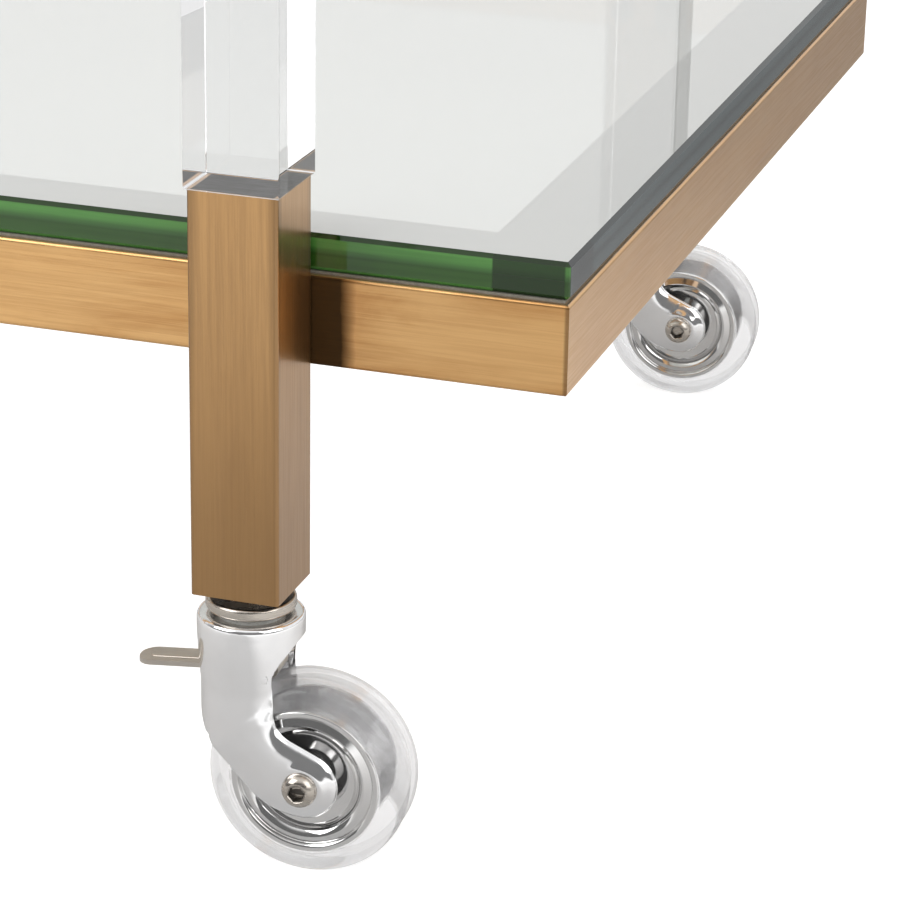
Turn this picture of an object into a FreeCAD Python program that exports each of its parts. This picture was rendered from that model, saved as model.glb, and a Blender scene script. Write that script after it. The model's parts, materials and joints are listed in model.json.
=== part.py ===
"""Dessert trolley: two glass shelves in brass frames, four clear acrylic posts, four swivel casters.

Millimetres, +Z up.  X runs along the trolley, Y across it, and Z is 0 where the wheels stand.
The origin is the bottom centre of the whole trolley, push handle included.
"""
import FreeCAD, Part
import Sketcher
import math
import os

Vector = FreeCAD.Vector
UP = Vector(0, 0, 1)
doc = FreeCAD.newDocument("DessertTrolley")
sheet = doc.addObject("Spreadsheet::Sheet", "Sizes")


# ---------------------------------------------------------------- sizes

class Size:
    """A length, an angle or a count together with the sheet expression that it comes from."""

    def __init__(self, value, text):
        self.value = float(value)
        self.text = text

    def __add__(self, other):
        other = as_size(other)
        return Size(self.value + other.value, "(" + self.text + " + " + other.text + ")")

    def __sub__(self, other):
        other = as_size(other)
        return Size(self.value - other.value, "(" + self.text + " - " + other.text + ")")

    def __mul__(self, other):
        other = as_size(other)
        return Size(self.value * other.value, "(" + self.text + " * " + other.text + ")")

    def __truediv__(self, other):
        other = as_size(other)
        return Size(self.value / other.value, "(" + self.text + " / " + other.text + ")")

    def __rsub__(self, other):
        return as_size(other) - self

    def __neg__(self):
        return as_size(0) - self

    __radd__ = __add__
    __rmul__ = __mul__


def as_size(value):
    """A plain number as a Size, so that both can stand in one formula."""
    if isinstance(value, Size):
        return value
    return Size(value, repr(float(value)))


def root(value):
    """The square root of a Size."""
    return Size(math.sqrt(value.value), "sqrt(" + value.text + ")")


def sine(angle):
    """The sine of a Size in degrees."""
    return Size(math.sin(math.radians(angle.value)), "sin(" + angle.text + " * 1 deg)")


def cosine(angle):
    """The cosine of a Size in degrees."""
    return Size(math.cos(math.radians(angle.value)), "cos(" + angle.text + " * 1 deg)")


def tangent(angle):
    """The tangent of a Size in degrees."""
    return Size(math.tan(math.radians(angle.value)), "tan(" + angle.text + " * 1 deg)")


def cell(alias, value):
    """Put one driving value in the next row of the sheet and give it its alias."""
    cell.row += 1
    sheet.set("A" + str(cell.row), alias)
    sheet.set("B" + str(cell.row), str(value))
    sheet.setAlias("B" + str(cell.row), alias)
    return Size(value, "Sizes." + alias)


cell.row = 0

# frames: square tube, mitred at the corners
frame_length = cell("frame_length", 1100)
frame_depth = cell("frame_depth", 535)
tube_width = cell("tube_width", 35.5)
tube_wall = cell("tube_wall", 1.5)
tube_corner = cell("tube_corner", 1.5)
lower_frame_height = cell("lower_frame_height", 200)
upper_frame_height = cell("upper_frame_height", 749)

# glass shelves on clear strips
glass_thickness = cell("glass_thickness", 14.5)
glass_chamfer = cell("glass_chamfer", 1.7)
glass_side_inset = cell("glass_side_inset", 2.2)
glass_end_inset = cell("glass_end_inset", 0.5)
strip_thickness = cell("strip_thickness", 1)
strip_width = cell("strip_width", 37.5)
strip_inset = cell("strip_inset", 2.5)

# posts: brass sleeves outside the frames, acrylic bars between them
post_inset = cell("post_inset", 100)
sleeve_drop = cell("sleeve_drop", 85)
sleeve_rise = cell("sleeve_rise", 39.5)
upper_sleeve_drop = cell("upper_sleeve_drop", 39.5)
acrylic_width = cell("acrylic_width", 37.5)
acrylic_chamfer = cell("acrylic_chamfer", 0.5)
plug_clearance = cell("plug_clearance", 0.1)
seat_thickness = cell("seat_thickness", 6)
cap_thickness = cell("cap_thickness", 3)
socket_depth = cell("socket_depth", 20)

# socket screws that hold the sleeves and the handle to the frames
screw_radius = cell("screw_radius", 3)
screw_head_radius = cell("screw_head_radius", 5)
screw_head_height = cell("screw_head_height", 6)
screw_key_radius = cell("screw_key_radius", 2.9)
screw_key_depth = cell("screw_key_depth", 3)
screw_grip = cell("screw_grip", 14)
screw_hole_play = cell("screw_hole_play", 0.3)
screw_pitch = cell("screw_pitch", 18)
thread_play = cell("thread_play", 0.05)
block_height = cell("block_height", 30)
block_tip_room = cell("block_tip_room", 2)

# push handle on the left end of the upper frame
handle_length = cell("handle_length", 380)
handle_radius = cell("handle_radius", 13)
handle_chamfer = cell("handle_chamfer", 1.5)
handle_spacing = cell("handle_spacing", 340)
handle_gap = cell("handle_gap", 38)
bracket_rim = cell("bracket_rim", 5)
bracket_width = cell("bracket_width", 18)
bracket_height = cell("bracket_height", 30)

# casters: heights are measured down from the sleeve's lower end
wheel_radius = cell("wheel_radius", 40)
trail = cell("trail", 25.3)
stem_radius = cell("stem_radius", 5)
stem_tip_room = cell("stem_tip_room", 2)
nut_radius = cell("nut_radius", 9.8)
nut_height = cell("nut_height", 4)
disc_radius = cell("disc_radius", 17.6)
disc_height = cell("disc_height", 5)
disc_bevel = cell("disc_bevel", 1.6)
washer_radius = cell("washer_radius", 13)
washer_height = cell("washer_height", 1.5)
kingpin_radius = cell("kingpin_radius", 6)
kingpin_head_radius = cell("kingpin_head_radius", 8.5)
kingpin_head_height = cell("kingpin_head_height", 3)
running_play = cell("running_play", 0.06)
end_play = cell("end_play", 0.3)

fork_half_width = cell("fork_half_width", 19.6)
fork_wall = cell("fork_wall", 5)
fork_edge = cell("fork_edge", 2)
collar_radius = cell("collar_radius", 21)
collar_height = cell("collar_height", 13.5)
collar_bevel = cell("collar_bevel", 2)
collar_flare = cell("collar_flare", 6)
roof_thickness = cell("roof_thickness", 9.5)
heel_reach = cell("heel_reach", 20.5)
heel_bend = cell("heel_bend", 12)
heel_turn = cell("heel_turn", 30)
belly_radius = cell("belly_radius", 30)
belly_slope = cell("belly_slope", 48)
boss_radius = cell("boss_radius", 14)
throat_reach = cell("throat_reach", 13.5)
bend_reach = cell("bend_reach", 20)
arm_slope = cell("arm_slope", 25)
shoulder_top = cell("shoulder_top", 36)
shoulder_bottom = cell("shoulder_bottom", 50)
arch_drop = cell("arch_drop", 33.5)
arch_depth = cell("arch_depth", 8)
wheel_gap = cell("wheel_gap", 1.6)
split_drop = cell("split_drop", 59)

tyre_half_width = cell("tyre_half_width", 13.4)
tyre_shoulder = cell("tyre_shoulder", 7)
tread_groove_depth = cell("tread_groove_depth", 1.2)
tread_groove_half = cell("tread_groove_half", 0.4)
rim_radius = cell("rim_radius", 29.7)
barrel_radius = cell("barrel_radius", 24)
flange_thickness = cell("flange_thickness", 2.3)
lip_width = cell("lip_width", 2.4)
dish_radius = cell("dish_radius", 20)
dish_depth = cell("dish_depth", 3.6)
hub_boss_radius = cell("hub_boss_radius", 9)
hub_boss_depth = cell("hub_boss_depth", 5.4)
hub_side_play = cell("hub_side_play", 0.5)
hub_bevel = cell("hub_bevel", 1)
ring_half_width = cell("ring_half_width", 0.4)
ring_depth = cell("ring_depth", 0.8)
ring_bulge = cell("ring_bulge", 0.2)
lip_slope = cell("lip_slope", 0.6)
lip_drop = cell("lip_drop", 1.8)
lip_bulge = cell("lip_bulge", 0.35)
rim_round = cell("rim_round", 0.8)
rim_relief = cell("rim_relief", 0.1)
bush_radius = cell("bush_radius", 6)
axle_radius = cell("axle_radius", 4)
axle_head_radius = cell("axle_head_radius", 7)
axle_head_height = cell("axle_head_height", 4.2)
axle_key_radius = cell("axle_key_radius", 2.9)
axle_key_depth = cell("axle_key_depth", 2.6)

# brake lever of the two braked casters
lever_pivot_reach = cell("lever_pivot_reach", 9)
lever_pivot_drop = cell("lever_pivot_drop", 32)
lever_tip_reach = cell("lever_tip_reach", 45.2)
lever_tip_drop = cell("lever_tip_drop", 36.2)
lever_thickness = cell("lever_thickness", 2)
lever_width = cell("lever_width", 13)
lever_eye_radius = cell("lever_eye_radius", 3.8)
lever_tip_round = cell("lever_tip_round", 6)
lever_slot_top = cell("lever_slot_top", 25.5)
lever_slot_bottom = cell("lever_slot_bottom", 39)
lever_slot_play = cell("lever_slot_play", 1)
pin_radius = cell("pin_radius", 2)
pin_seat = cell("pin_seat", 2)
shoe_heel = cell("shoe_heel", 6)
shoe_toe = cell("shoe_toe", 1)
shoe_width = cell("shoe_width", 16)
shoe_gap = cell("shoe_gap", 0.6)

# how far each caster is swivelled away from the trolley's length, in degrees
swivel_front_right = cell("swivel_front_right", 3.5)
swivel_back_right = cell("swivel_back_right", 5.5)
swivel_front_left = cell("swivel_front_left", -5.5)
swivel_back_left = cell("swivel_back_left", 2.5)

doc.recompute()

# places that follow from the sizes above
bar_reach = handle_gap + handle_radius
handle_reach = bar_reach + handle_radius + bracket_rim
centre_x = handle_reach / 2
mount_height = lower_frame_height - sleeve_drop
post_x = frame_length / 2 - post_inset - tube_width / 2
post_y = frame_depth / 2 + tube_width / 2
lower_sleeve_length = sleeve_drop + tube_width + sleeve_rise
lower_sleeve_top = lower_frame_height + tube_width + sleeve_rise
upper_sleeve_bottom = upper_frame_height - upper_sleeve_drop
shelf_rise = strip_thickness + glass_thickness
upper_sleeve_length = upper_sleeve_drop + tube_width + shelf_rise
acrylic_length = upper_sleeve_bottom - lower_sleeve_top
plug_width = tube_width - 2 * tube_wall - 2 * plug_clearance
axle_drop = mount_height - wheel_radius
collar_top = nut_height + disc_height + washer_height
collar_bottom = collar_top + collar_height
roof_drop = collar_top + roof_thickness
cheek_inner = fork_half_width - fork_wall


# ---------------------------------------------------------------- building tools

nodes = []


def bind(item, name, value):
    """Tie one property of a document object to the sheet."""
    value = as_size(value)
    item.setExpression(name, value.text)


def place(item, x=0, y=0, z=0, angle=0, axis=UP):
    """Put an object at a place and turn it about an axis."""
    item.Placement = FreeCAD.Placement(Vector(0, 0, 0), FreeCAD.Rotation(axis, as_size(angle).value))
    bind(item, "Placement.Base.x", x)
    bind(item, "Placement.Base.y", y)
    bind(item, "Placement.Base.z", z)
    if isinstance(angle, Size):
        bind(item, "Placement.Rotation.Angle", angle)
    return item


def keep(item, label):
    """Name a finished piece; its label is the name of its node."""
    item.Label = label
    nodes.append(item)
    return item


def make_body(name):
    return doc.addObject("PartDesign::Body", name)


def sketch_on(body, role, x=0, y=0, z=0):
    """A sketch on one of the body's own planes, moved by x, y in the plane and z off it."""
    sketch = body.newObject("Sketcher::SketchObject", body.Name + "_sketch")
    planes = [item for item in body.Origin.OriginFeatures if item.Role == role]
    sketch.AttachmentSupport = [(planes[0], "")]
    sketch.MapMode = "FlatFace"
    bind(sketch, "AttachmentOffset.Base.x", x)
    bind(sketch, "AttachmentOffset.Base.y", y)
    bind(sketch, "AttachmentOffset.Base.z", z)
    return sketch


def fix(sketch, kind, geometry, point, value):
    """A coordinate of a sketch point, tied to the sheet."""
    number = sketch.addConstraint(Sketcher.Constraint(kind, -1, 1, geometry, point, value.value))
    sketch.setExpression("Constraints[" + str(number) + "]", value.text)


def outline(sketch, corners):
    """Draw a closed outline.

    Each corner is (x, y), or (x, y, bulge) where the side that leads to it is an arc: the
    bulge is the tangent of a quarter of the arc's turn, positive to the left.
    """
    points = [(as_size(corner[0]), as_size(corner[1])) for corner in corners]
    count = len(corners)
    first = sketch.GeometryCount
    ends = []
    radii = []
    for index in range(count):
        after = (index + 1) % count
        start = Vector(points[index][0].value, points[index][1].value, 0)
        end = Vector(points[after][0].value, points[after][1].value, 0)
        if len(corners[after]) < 3:
            sketch.addGeometry(Part.LineSegment(start, end), False)
            ends.append((1, 2))
            radii.append(None)
            continue
        bulge = corners[after][2]
        run = points[after][0] - points[index][0]
        climb = points[after][1] - points[index][1]
        radius = root(run * run + climb * climb) * ((1 + bulge * bulge) / (4 * abs(bulge)))
        chord = end - start
        side = Vector(-chord.y, chord.x, 0)
        centre = (start + end) * 0.5 + side * ((1 - bulge * bulge) / (4 * bulge))
        order = (start, end) if bulge > 0 else (end, start)
        angles = [math.atan2(point.y - centre.y, point.x - centre.x) for point in order]
        circle = Part.Circle(centre, UP, radius.value)
        sketch.addGeometry(Part.ArcOfCircle(circle, angles[0], angles[1]), False)
        ends.append((1, 2) if bulge > 0 else (2, 1))
        radii.append(radius)
    for index in range(count):
        after = (index + 1) % count
        joint = (first + index, ends[index][1], first + after, ends[after][0])
        sketch.addConstraint(Sketcher.Constraint("Coincident", *joint))
    for index in range(count):
        fix(sketch, "DistanceX", first + index, ends[index][0], points[index][0])
        fix(sketch, "DistanceY", first + index, ends[index][0], points[index][1])
        if radii[index] is not None:
            value = radii[index].value
            number = sketch.addConstraint(Sketcher.Constraint("Radius", first + index, value))
            sketch.setExpression("Constraints[" + str(number) + "]", radii[index].text)
    return sketch


def rectangle(sketch, x0, y0, x1, y1):
    return outline(sketch, [(x0, y0), (x1, y0), (x1, y1), (x0, y1)])


def arc(turn):
    """The bulge of an arc that turns through so many degrees, to the left where positive."""
    return math.tan(math.radians(turn / 4))


QUARTER = arc(90)


def rounded_square(sketch, width, corner):
    """A square about the sketch's origin with round corners."""
    half = width / 2
    flat = half - corner
    return outline(sketch, [
        (-flat, -half, QUARTER), (flat, -half), (half, -flat, QUARTER), (half, flat),
        (flat, half, QUARTER), (-flat, half), (-half, flat, QUARTER), (-half, -flat)])


def circle(sketch, x, y, radius):
    centre = Vector(as_size(x).value, as_size(y).value, 0)
    number = sketch.addGeometry(Part.Circle(centre, UP, radius.value), False)
    fix(sketch, "DistanceX", number, 3, as_size(x))
    fix(sketch, "DistanceY", number, 3, as_size(y))
    limit = sketch.addConstraint(Sketcher.Constraint("Radius", number, radius.value))
    sketch.setExpression("Constraints[" + str(limit) + "]", radius.text)
    return sketch


def pad(body, sketch, length, both_ways=False):
    feature = body.newObject("PartDesign::Pad", body.Name + "_pad")
    feature.Profile = sketch
    feature.Midplane = both_ways
    bind(feature, "Length", length)
    doc.recompute()
    return feature


def pocket(body, sketch, length=None, both_ways=False, away=False):
    """Cut a sketch out of the body: through all of it where no length is given."""
    before = body.Shape.Volume
    feature = body.newObject("PartDesign::Pocket", body.Name + "_pocket")
    feature.Profile = sketch
    feature.Midplane = both_ways
    feature.Reversed = away
    if length is None:
        feature.Type = "ThroughAll"
    else:
        bind(feature, "Length", length)
    doc.recompute()
    if not body.Shape.Volume < before:
        raise RuntimeError(feature.Name + " cuts nothing")
    return feature


def revolve(body, sketch, axis):
    """Turn a sketch a full turn about its own H_Axis or V_Axis."""
    feature = body.newObject("PartDesign::Revolution", body.Name + "_revolution")
    feature.Profile = sketch
    feature.ReferenceAxis = (sketch, [axis])
    feature.Angle = 360
    doc.recompute()
    return feature


def round_edges(body, wanted, radius):
    """Fillet the edges of the body's last feature that the test picks."""
    base = body.Tip
    names = ["Edge" + str(number + 1) for number, edge in enumerate(base.Shape.Edges) if wanted(edge)]
    feature = body.newObject("PartDesign::Fillet", body.Name + "_fillet")
    feature.Base = (base, names)
    bind(feature, "Radius", radius)
    doc.recompute()
    if "Invalid" in feature.State:
        raise RuntimeError(feature.Name + " rounds nothing")
    return feature


def chamfer_edges(body, wanted, size):
    """Chamfer the edges of the body's last feature that the test picks."""
    base = body.Tip
    names = ["Edge" + str(number + 1) for number, edge in enumerate(base.Shape.Edges) if wanted(edge)]
    feature = body.newObject("PartDesign::Chamfer", body.Name + "_chamfer")
    feature.Base = (base, names)
    bind(feature, "Size", size)
    doc.recompute()
    return feature


def cylinder(name, radius, height, x=0, y=0, z=0, angle=0, axis=UP):
    item = doc.addObject("Part::Cylinder", name)
    bind(item, "Radius", radius)
    bind(item, "Height", height)
    return place(item, x, y, z, angle, axis)


def hexagon(name, radius, height, x=0, y=0, z=0, angle=0, axis=UP):
    item = doc.addObject("Part::Prism", name)
    item.Polygon = 6
    bind(item, "Circumradius", radius)
    bind(item, "Height", height)
    return place(item, x, y, z, angle, axis)


def cut(name, base, tool):
    item = doc.addObject("Part::Cut", name)
    item.Base = base
    item.Tool = tool
    return item


def group(label, parts):
    """Like pieces that share one node, each still a solid of its own."""
    item = doc.addObject("Part::Compound", label)
    item.Links = parts
    return keep(item, label)


# ---------------------------------------------------------------- frames

CORNERS = [("front_right", 1, -1), ("front_left", -1, -1), ("back_right", 1, 1), ("back_left", -1, 1)]


def rail(label, length, x, y, z, turn, holes):
    """A mitred square tube along X with its outer face towards -Y, and its screw holes."""
    body = make_body(label)
    section = sketch_on(body, "YZ_Plane")
    rounded_square(section, tube_width, tube_corner)
    hollow = tube_width / 2 - tube_wall
    rectangle(section, -hollow, -hollow, hollow, hollow)
    pad(body, section, length, both_ways=True)
    for side in (1, -1):
        tip = side * length / 2
        mitre = sketch_on(body, "XY_Plane")
        half = tube_width / 2
        outline(mitre, [(tip, -half), (tip - side * tube_width, half), (tip, half)])
        pocket(body, mitre, both_ways=True)
    if holes:
        drilling = sketch_on(body, "XZ_Plane")
        for along, up in holes:
            circle(drilling, along, up, screw_radius + screw_hole_play)
        pocket(body, drilling, both_ways=True)
    place(body, x, y, z, turn)
    return keep(body, label)


def frame(level, height, end_holes):
    """Four mitred rails; height is the level of their undersides."""
    middle = height + tube_width / 2
    across = frame_depth / 2 - tube_width / 2
    along = frame_length / 2 - tube_width / 2
    post_holes = [(side * post_x, step * screw_pitch / 2) for side in (1, -1) for step in (1, -1)]
    rail(level + "_rail_front", frame_length, centre_x, -across, middle, 0, post_holes)
    rail(level + "_rail_back", frame_length, centre_x, across, middle, 180, post_holes)
    rail(level + "_rail_right", frame_depth, centre_x + along, 0, middle, 90, [])
    rail(level + "_rail_left", frame_depth, centre_x - along, 0, middle, 270, end_holes)


handle_holes = [(side * handle_spacing / 2, step * screw_pitch / 2) for side in (1, -1) for step in (1, -1)]
frame("lower", lower_frame_height, [])
frame("upper", upper_frame_height, handle_holes)


# ---------------------------------------------------------------- glass and its strips

def is_level(edge):
    """True for an edge that lies in a horizontal plane."""
    box = edge.BoundBox
    return box.ZLength < 0.001


def glass(label, frame_height):
    """A float glass panel with ground arrises, lying on its strip."""
    body = make_body(label)
    sketch = sketch_on(body, "XY_Plane")
    half_x = frame_length / 2 - glass_end_inset
    half_y = frame_depth / 2 - glass_side_inset
    rectangle(sketch, -half_x, -half_y, half_x, half_y)
    pad(body, sketch, glass_thickness)
    chamfer_edges(body, is_level, glass_chamfer)
    place(body, centre_x, 0, frame_height + tube_width + strip_thickness)
    return keep(body, label)


def glass_strip(label, frame_height):
    """A clear soft strip laid round the tops of the rails, its inner edge proud of them."""
    body = make_body(label)
    sketch = sketch_on(body, "XY_Plane")
    outer_x = frame_length / 2 - strip_inset
    outer_y = frame_depth / 2 - strip_inset
    inner_x = outer_x - strip_width
    inner_y = outer_y - strip_width
    rectangle(sketch, -outer_x, -outer_y, outer_x, outer_y)
    rectangle(sketch, -inner_x, -inner_y, inner_x, inner_y)
    pad(body, sketch, strip_thickness)
    place(body, centre_x, 0, frame_height + tube_width)
    return keep(body, label)


glass("lower_glass", lower_frame_height)
glass("upper_glass", upper_frame_height)
glass_strip("lower_glass_strip", lower_frame_height)
glass_strip("upper_glass_strip", upper_frame_height)


# ---------------------------------------------------------------- posts

def sleeve(label, x, y, bottom, length, rail_bottom, turn):
    """A square brass sleeve; its +Y wall is drilled for the two screws from the rail."""
    body = make_body(label)
    section = sketch_on(body, "XY_Plane")
    rounded_square(section, tube_width, tube_corner)
    hollow = tube_width / 2 - tube_wall
    rectangle(section, -hollow, -hollow, hollow, hollow)
    pad(body, section, length)
    drilling = sketch_on(body, "XZ_Plane")
    middle = rail_bottom + tube_width / 2 - bottom
    for step in (1, -1):
        circle(drilling, 0, middle + step * screw_pitch / 2, screw_radius + screw_hole_play)
    pocket(body, drilling)
    place(body, x, y, bottom, turn)
    return keep(body, label)


def square_plug(name, height, x, y, z, bore=None):
    """A square plug that fills a sleeve, with an upright threaded bore where one is given."""
    body = make_body(name)
    section = sketch_on(body, "XY_Plane")
    half = plug_width / 2
    rectangle(section, -half, -half, half, half)
    if bore is not None:
        circle(section, 0, 0, bore)
    pad(body, section, height)
    return place(body, x, y, z)


def rail_block(x, y, rail_bottom, turn):
    """The steel block inside a sleeve that the rail's two screws pull against."""
    body = make_body("rail_block")
    section = sketch_on(body, "XY_Plane")
    half = plug_width / 2
    rectangle(section, -half, -half, half, half)
    pad(body, section, block_height)
    threads = sketch_on(body, "XZ_Plane", 0, 0, -plug_width / 2)
    for step in (1, -1):
        circle(threads, 0, block_height / 2 + step * screw_pitch / 2, screw_radius + thread_play)
    pocket(body, threads, screw_grip + block_tip_room, away=True)
    return place(body, x, y, rail_bottom + (tube_width - block_height) / 2, turn)


def cap_screw(name, length, x, y, z, turn):
    """A socket head screw along Y with its head's seat at the given place and its tip towards -Y."""
    body = make_body(name)
    section = sketch_on(body, "XY_Plane")
    circle(section, 0, 0, screw_radius)
    pad(body, section, length)
    head = sketch_on(body, "XY_Plane", 0, 0, -screw_head_height)
    circle(head, 0, 0, screw_head_radius)
    pad(body, head, screw_head_height)
    key = sketch_on(body, "XY_Plane", 0, 0, -screw_head_height)
    flat = screw_key_radius * math.sqrt(3) / 2
    slope = screw_key_radius / 2
    outline(key, [(screw_key_radius, 0), (slope, flat), (-slope, flat),
                  (-screw_key_radius, 0), (-slope, -flat), (slope, -flat)])
    pocket(body, key, screw_key_depth, away=True)
    body.Placement = FreeCAD.Placement(
        Vector(0, 0, 0), FreeCAD.Rotation(UP, turn) * FreeCAD.Rotation(Vector(1, 0, 0), 90))
    bind(body, "Placement.Base.x", x)
    bind(body, "Placement.Base.y", y)
    bind(body, "Placement.Base.z", z)
    return body


def rail_screws(rail_bottom):
    """The screws of one level: two to each post, their heads on the rail's inner face."""
    screws = []
    seat_y = frame_depth / 2 - tube_width
    length = tube_width + tube_wall + plug_clearance + screw_grip
    for name, side, depth in CORNERS:
        turn = 0 if depth < 0 else 180
        for step in (1, -1):
            height = rail_bottom + tube_width / 2 + step * screw_pitch / 2
            screws.append(cap_screw("rail_screw", length, centre_x + side * post_x,
                                    depth * seat_y, height, turn))
    return screws


def acrylic_bar(label, x, y):
    """A clear square bar standing between the lower and the upper sleeve."""
    body = make_body(label)
    section = sketch_on(body, "XY_Plane")
    half = acrylic_width / 2
    flat = half - acrylic_chamfer
    outline(section, [(-flat, -half), (flat, -half), (half, -flat), (half, flat),
                      (flat, half), (-flat, half), (-half, flat), (-half, -flat)])
    pad(body, section, acrylic_length)
    place(body, x, y, lower_sleeve_top)
    return keep(body, label)


seats = []
blocks = []
caps = []
sockets = []
for corner, side, depth in CORNERS:
    x = centre_x + side * post_x
    y = depth * post_y
    turn = 0 if depth < 0 else 180
    sleeve("lower_sleeve_" + corner, x, y, mount_height, lower_sleeve_length, lower_frame_height, turn)
    acrylic_bar("acrylic_post_" + corner, x, y)
    sleeve("upper_sleeve_" + corner, x, y, upper_sleeve_bottom, upper_sleeve_length,
           upper_frame_height, turn)
    seats.append(square_plug("lower_seat", seat_thickness, x, y, lower_sleeve_top - seat_thickness))
    seats.append(square_plug("upper_seat", seat_thickness, x, y, upper_sleeve_bottom))
    blocks.append(rail_block(x, y, lower_frame_height, turn))
    blocks.append(rail_block(x, y, upper_frame_height, turn))
    cap_height = upper_sleeve_bottom + upper_sleeve_length - cap_thickness
    caps.append(square_plug("top_cap", cap_thickness, x, y, cap_height))
    sockets.append(square_plug("stem_socket", socket_depth, x, y, mount_height, stem_radius + thread_play))

group("post_seats", seats)
group("rail_blocks", blocks)
group("top_caps", caps)
group("stem_sockets", sockets)
group("lower_rail_screws", rail_screws(lower_frame_height))
group("upper_rail_screws", rail_screws(upper_frame_height))


# ---------------------------------------------------------------- push handle

def is_round_end(edge):
    """True for a full circle, as at the end of a round bar."""
    return edge.Curve.TypeId == "Part::GeomCircle"


def handle_bar():
    """The clear round bar that the hands hold."""
    body = make_body("handle_bar")
    section = sketch_on(body, "XZ_Plane")
    circle(section, 0, 0, handle_radius)
    pad(body, section, handle_length, both_ways=True)
    chamfer_edges(body, is_round_end, handle_chamfer)
    place(body, centre_x - frame_length / 2 - bar_reach, 0, upper_frame_height + tube_width / 2)
    return keep(body, "handle_bar")


def handle_bracket(y):
    """A brass bracket: a foot on the end rail and an eye around the bar."""
    body = make_body("handle_bracket")
    eye = handle_radius + bracket_rim
    side = sketch_on(body, "XZ_Plane")
    circle(side, 0, 0, eye)
    pad(body, side, bracket_width, both_ways=True)
    foot = sketch_on(body, "XZ_Plane")
    rectangle(foot, handle_radius, -bracket_height / 2, bar_reach, bracket_height / 2)
    pad(body, foot, bracket_width, both_ways=True)
    bore = sketch_on(body, "XZ_Plane")
    circle(bore, 0, 0, handle_radius + thread_play)
    pocket(body, bore, both_ways=True)
    threads = sketch_on(body, "YZ_Plane", 0, 0, bar_reach)
    for step in (1, -1):
        circle(threads, 0, step * screw_pitch / 2, screw_radius + thread_play)
    pocket(body, threads, screw_grip + block_tip_room)
    return place(body, centre_x - frame_length / 2 - bar_reach, y, upper_frame_height + tube_width / 2)


def handle_screws():
    """Two screws to a bracket, their heads on the end rail's inner face."""
    seat_x = centre_x - frame_length / 2 + tube_width
    length = tube_width + screw_grip
    middle = upper_frame_height + tube_width / 2
    return [cap_screw("handle_screw", length, seat_x, side * handle_spacing / 2,
                      middle + step * screw_pitch / 2, 270)
            for side in (1, -1) for step in (1, -1)]


handle_bar()
group("handle_brackets", [handle_bracket(side * handle_spacing / 2) for side in (1, -1)])
group("handle_screws", handle_screws())


# ---------------------------------------------------------------- casters

def stem(x, y):
    """The upright pin of a caster: thread, kingpin and riveted head."""
    body = make_body("caster_stem")
    section = sketch_on(body, "XZ_Plane")
    head_top = roof_drop + end_play
    head_bottom = head_top + kingpin_head_height
    thread_top = socket_depth - stem_tip_room
    outline(section, [
        (0, -head_bottom), (kingpin_head_radius, -head_bottom), (kingpin_head_radius, -head_top),
        (kingpin_radius, -head_top), (kingpin_radius, -nut_height), (stem_radius, -nut_height),
        (stem_radius, thread_top), (0, thread_top)])
    revolve(body, section, "V_Axis")
    return place(body, x, y, mount_height)


def lock_nut(x, y):
    """The hexagon nut that locks the stem against the sleeve's end."""
    blank = hexagon("lock_nut_blank", nut_radius, nut_height, x, y, mount_height - nut_height)
    bore = cylinder("lock_nut_bore", stem_radius + thread_play, nut_height, x, y, mount_height - nut_height)
    return cut("lock_nut", blank, bore)


def seat_disc(x, y):
    """The plated disc that carries the load on the fork's collar."""
    body = make_body("seat_disc")
    section = sketch_on(body, "XZ_Plane")
    bore = kingpin_radius + thread_play
    top = -nut_height
    bottom = top - disc_height
    rim = disc_radius - disc_bevel
    outline(section, [(bore, bottom), (rim, bottom), (disc_radius, bottom + disc_bevel, QUARTER),
                      (disc_radius, top - disc_bevel), (rim, top, QUARTER), (bore, top)])
    revolve(body, section, "V_Axis")
    return place(body, x, y, mount_height)


def swivel_washer(x, y):
    """The low friction ring that the fork turns on."""
    bottom = mount_height - collar_top
    disc = cylinder("swivel_washer_disc", washer_radius, washer_height, x, y, bottom)
    bore = cylinder("swivel_washer_bore", kingpin_radius + thread_play, washer_height, x, y, bottom)
    return cut("swivel_washer", disc, bore)


def set_caster(item, x, y, angle):
    """Put a piece that is drawn about the swivel axis on its post, turned by the swivel angle."""
    return place(item, x, y, mount_height, angle)


def on_cheek_rim(edge):
    """True for an edge around one cheek's outer face, but for its top and its back."""
    box = edge.BoundBox
    flat = box.YLength < 0.001 and abs(abs(box.YMin) - fork_half_width.value) < 0.001
    return flat and box.XMax > 1 and box.ZMin < -shoulder_top.value - 1


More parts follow.
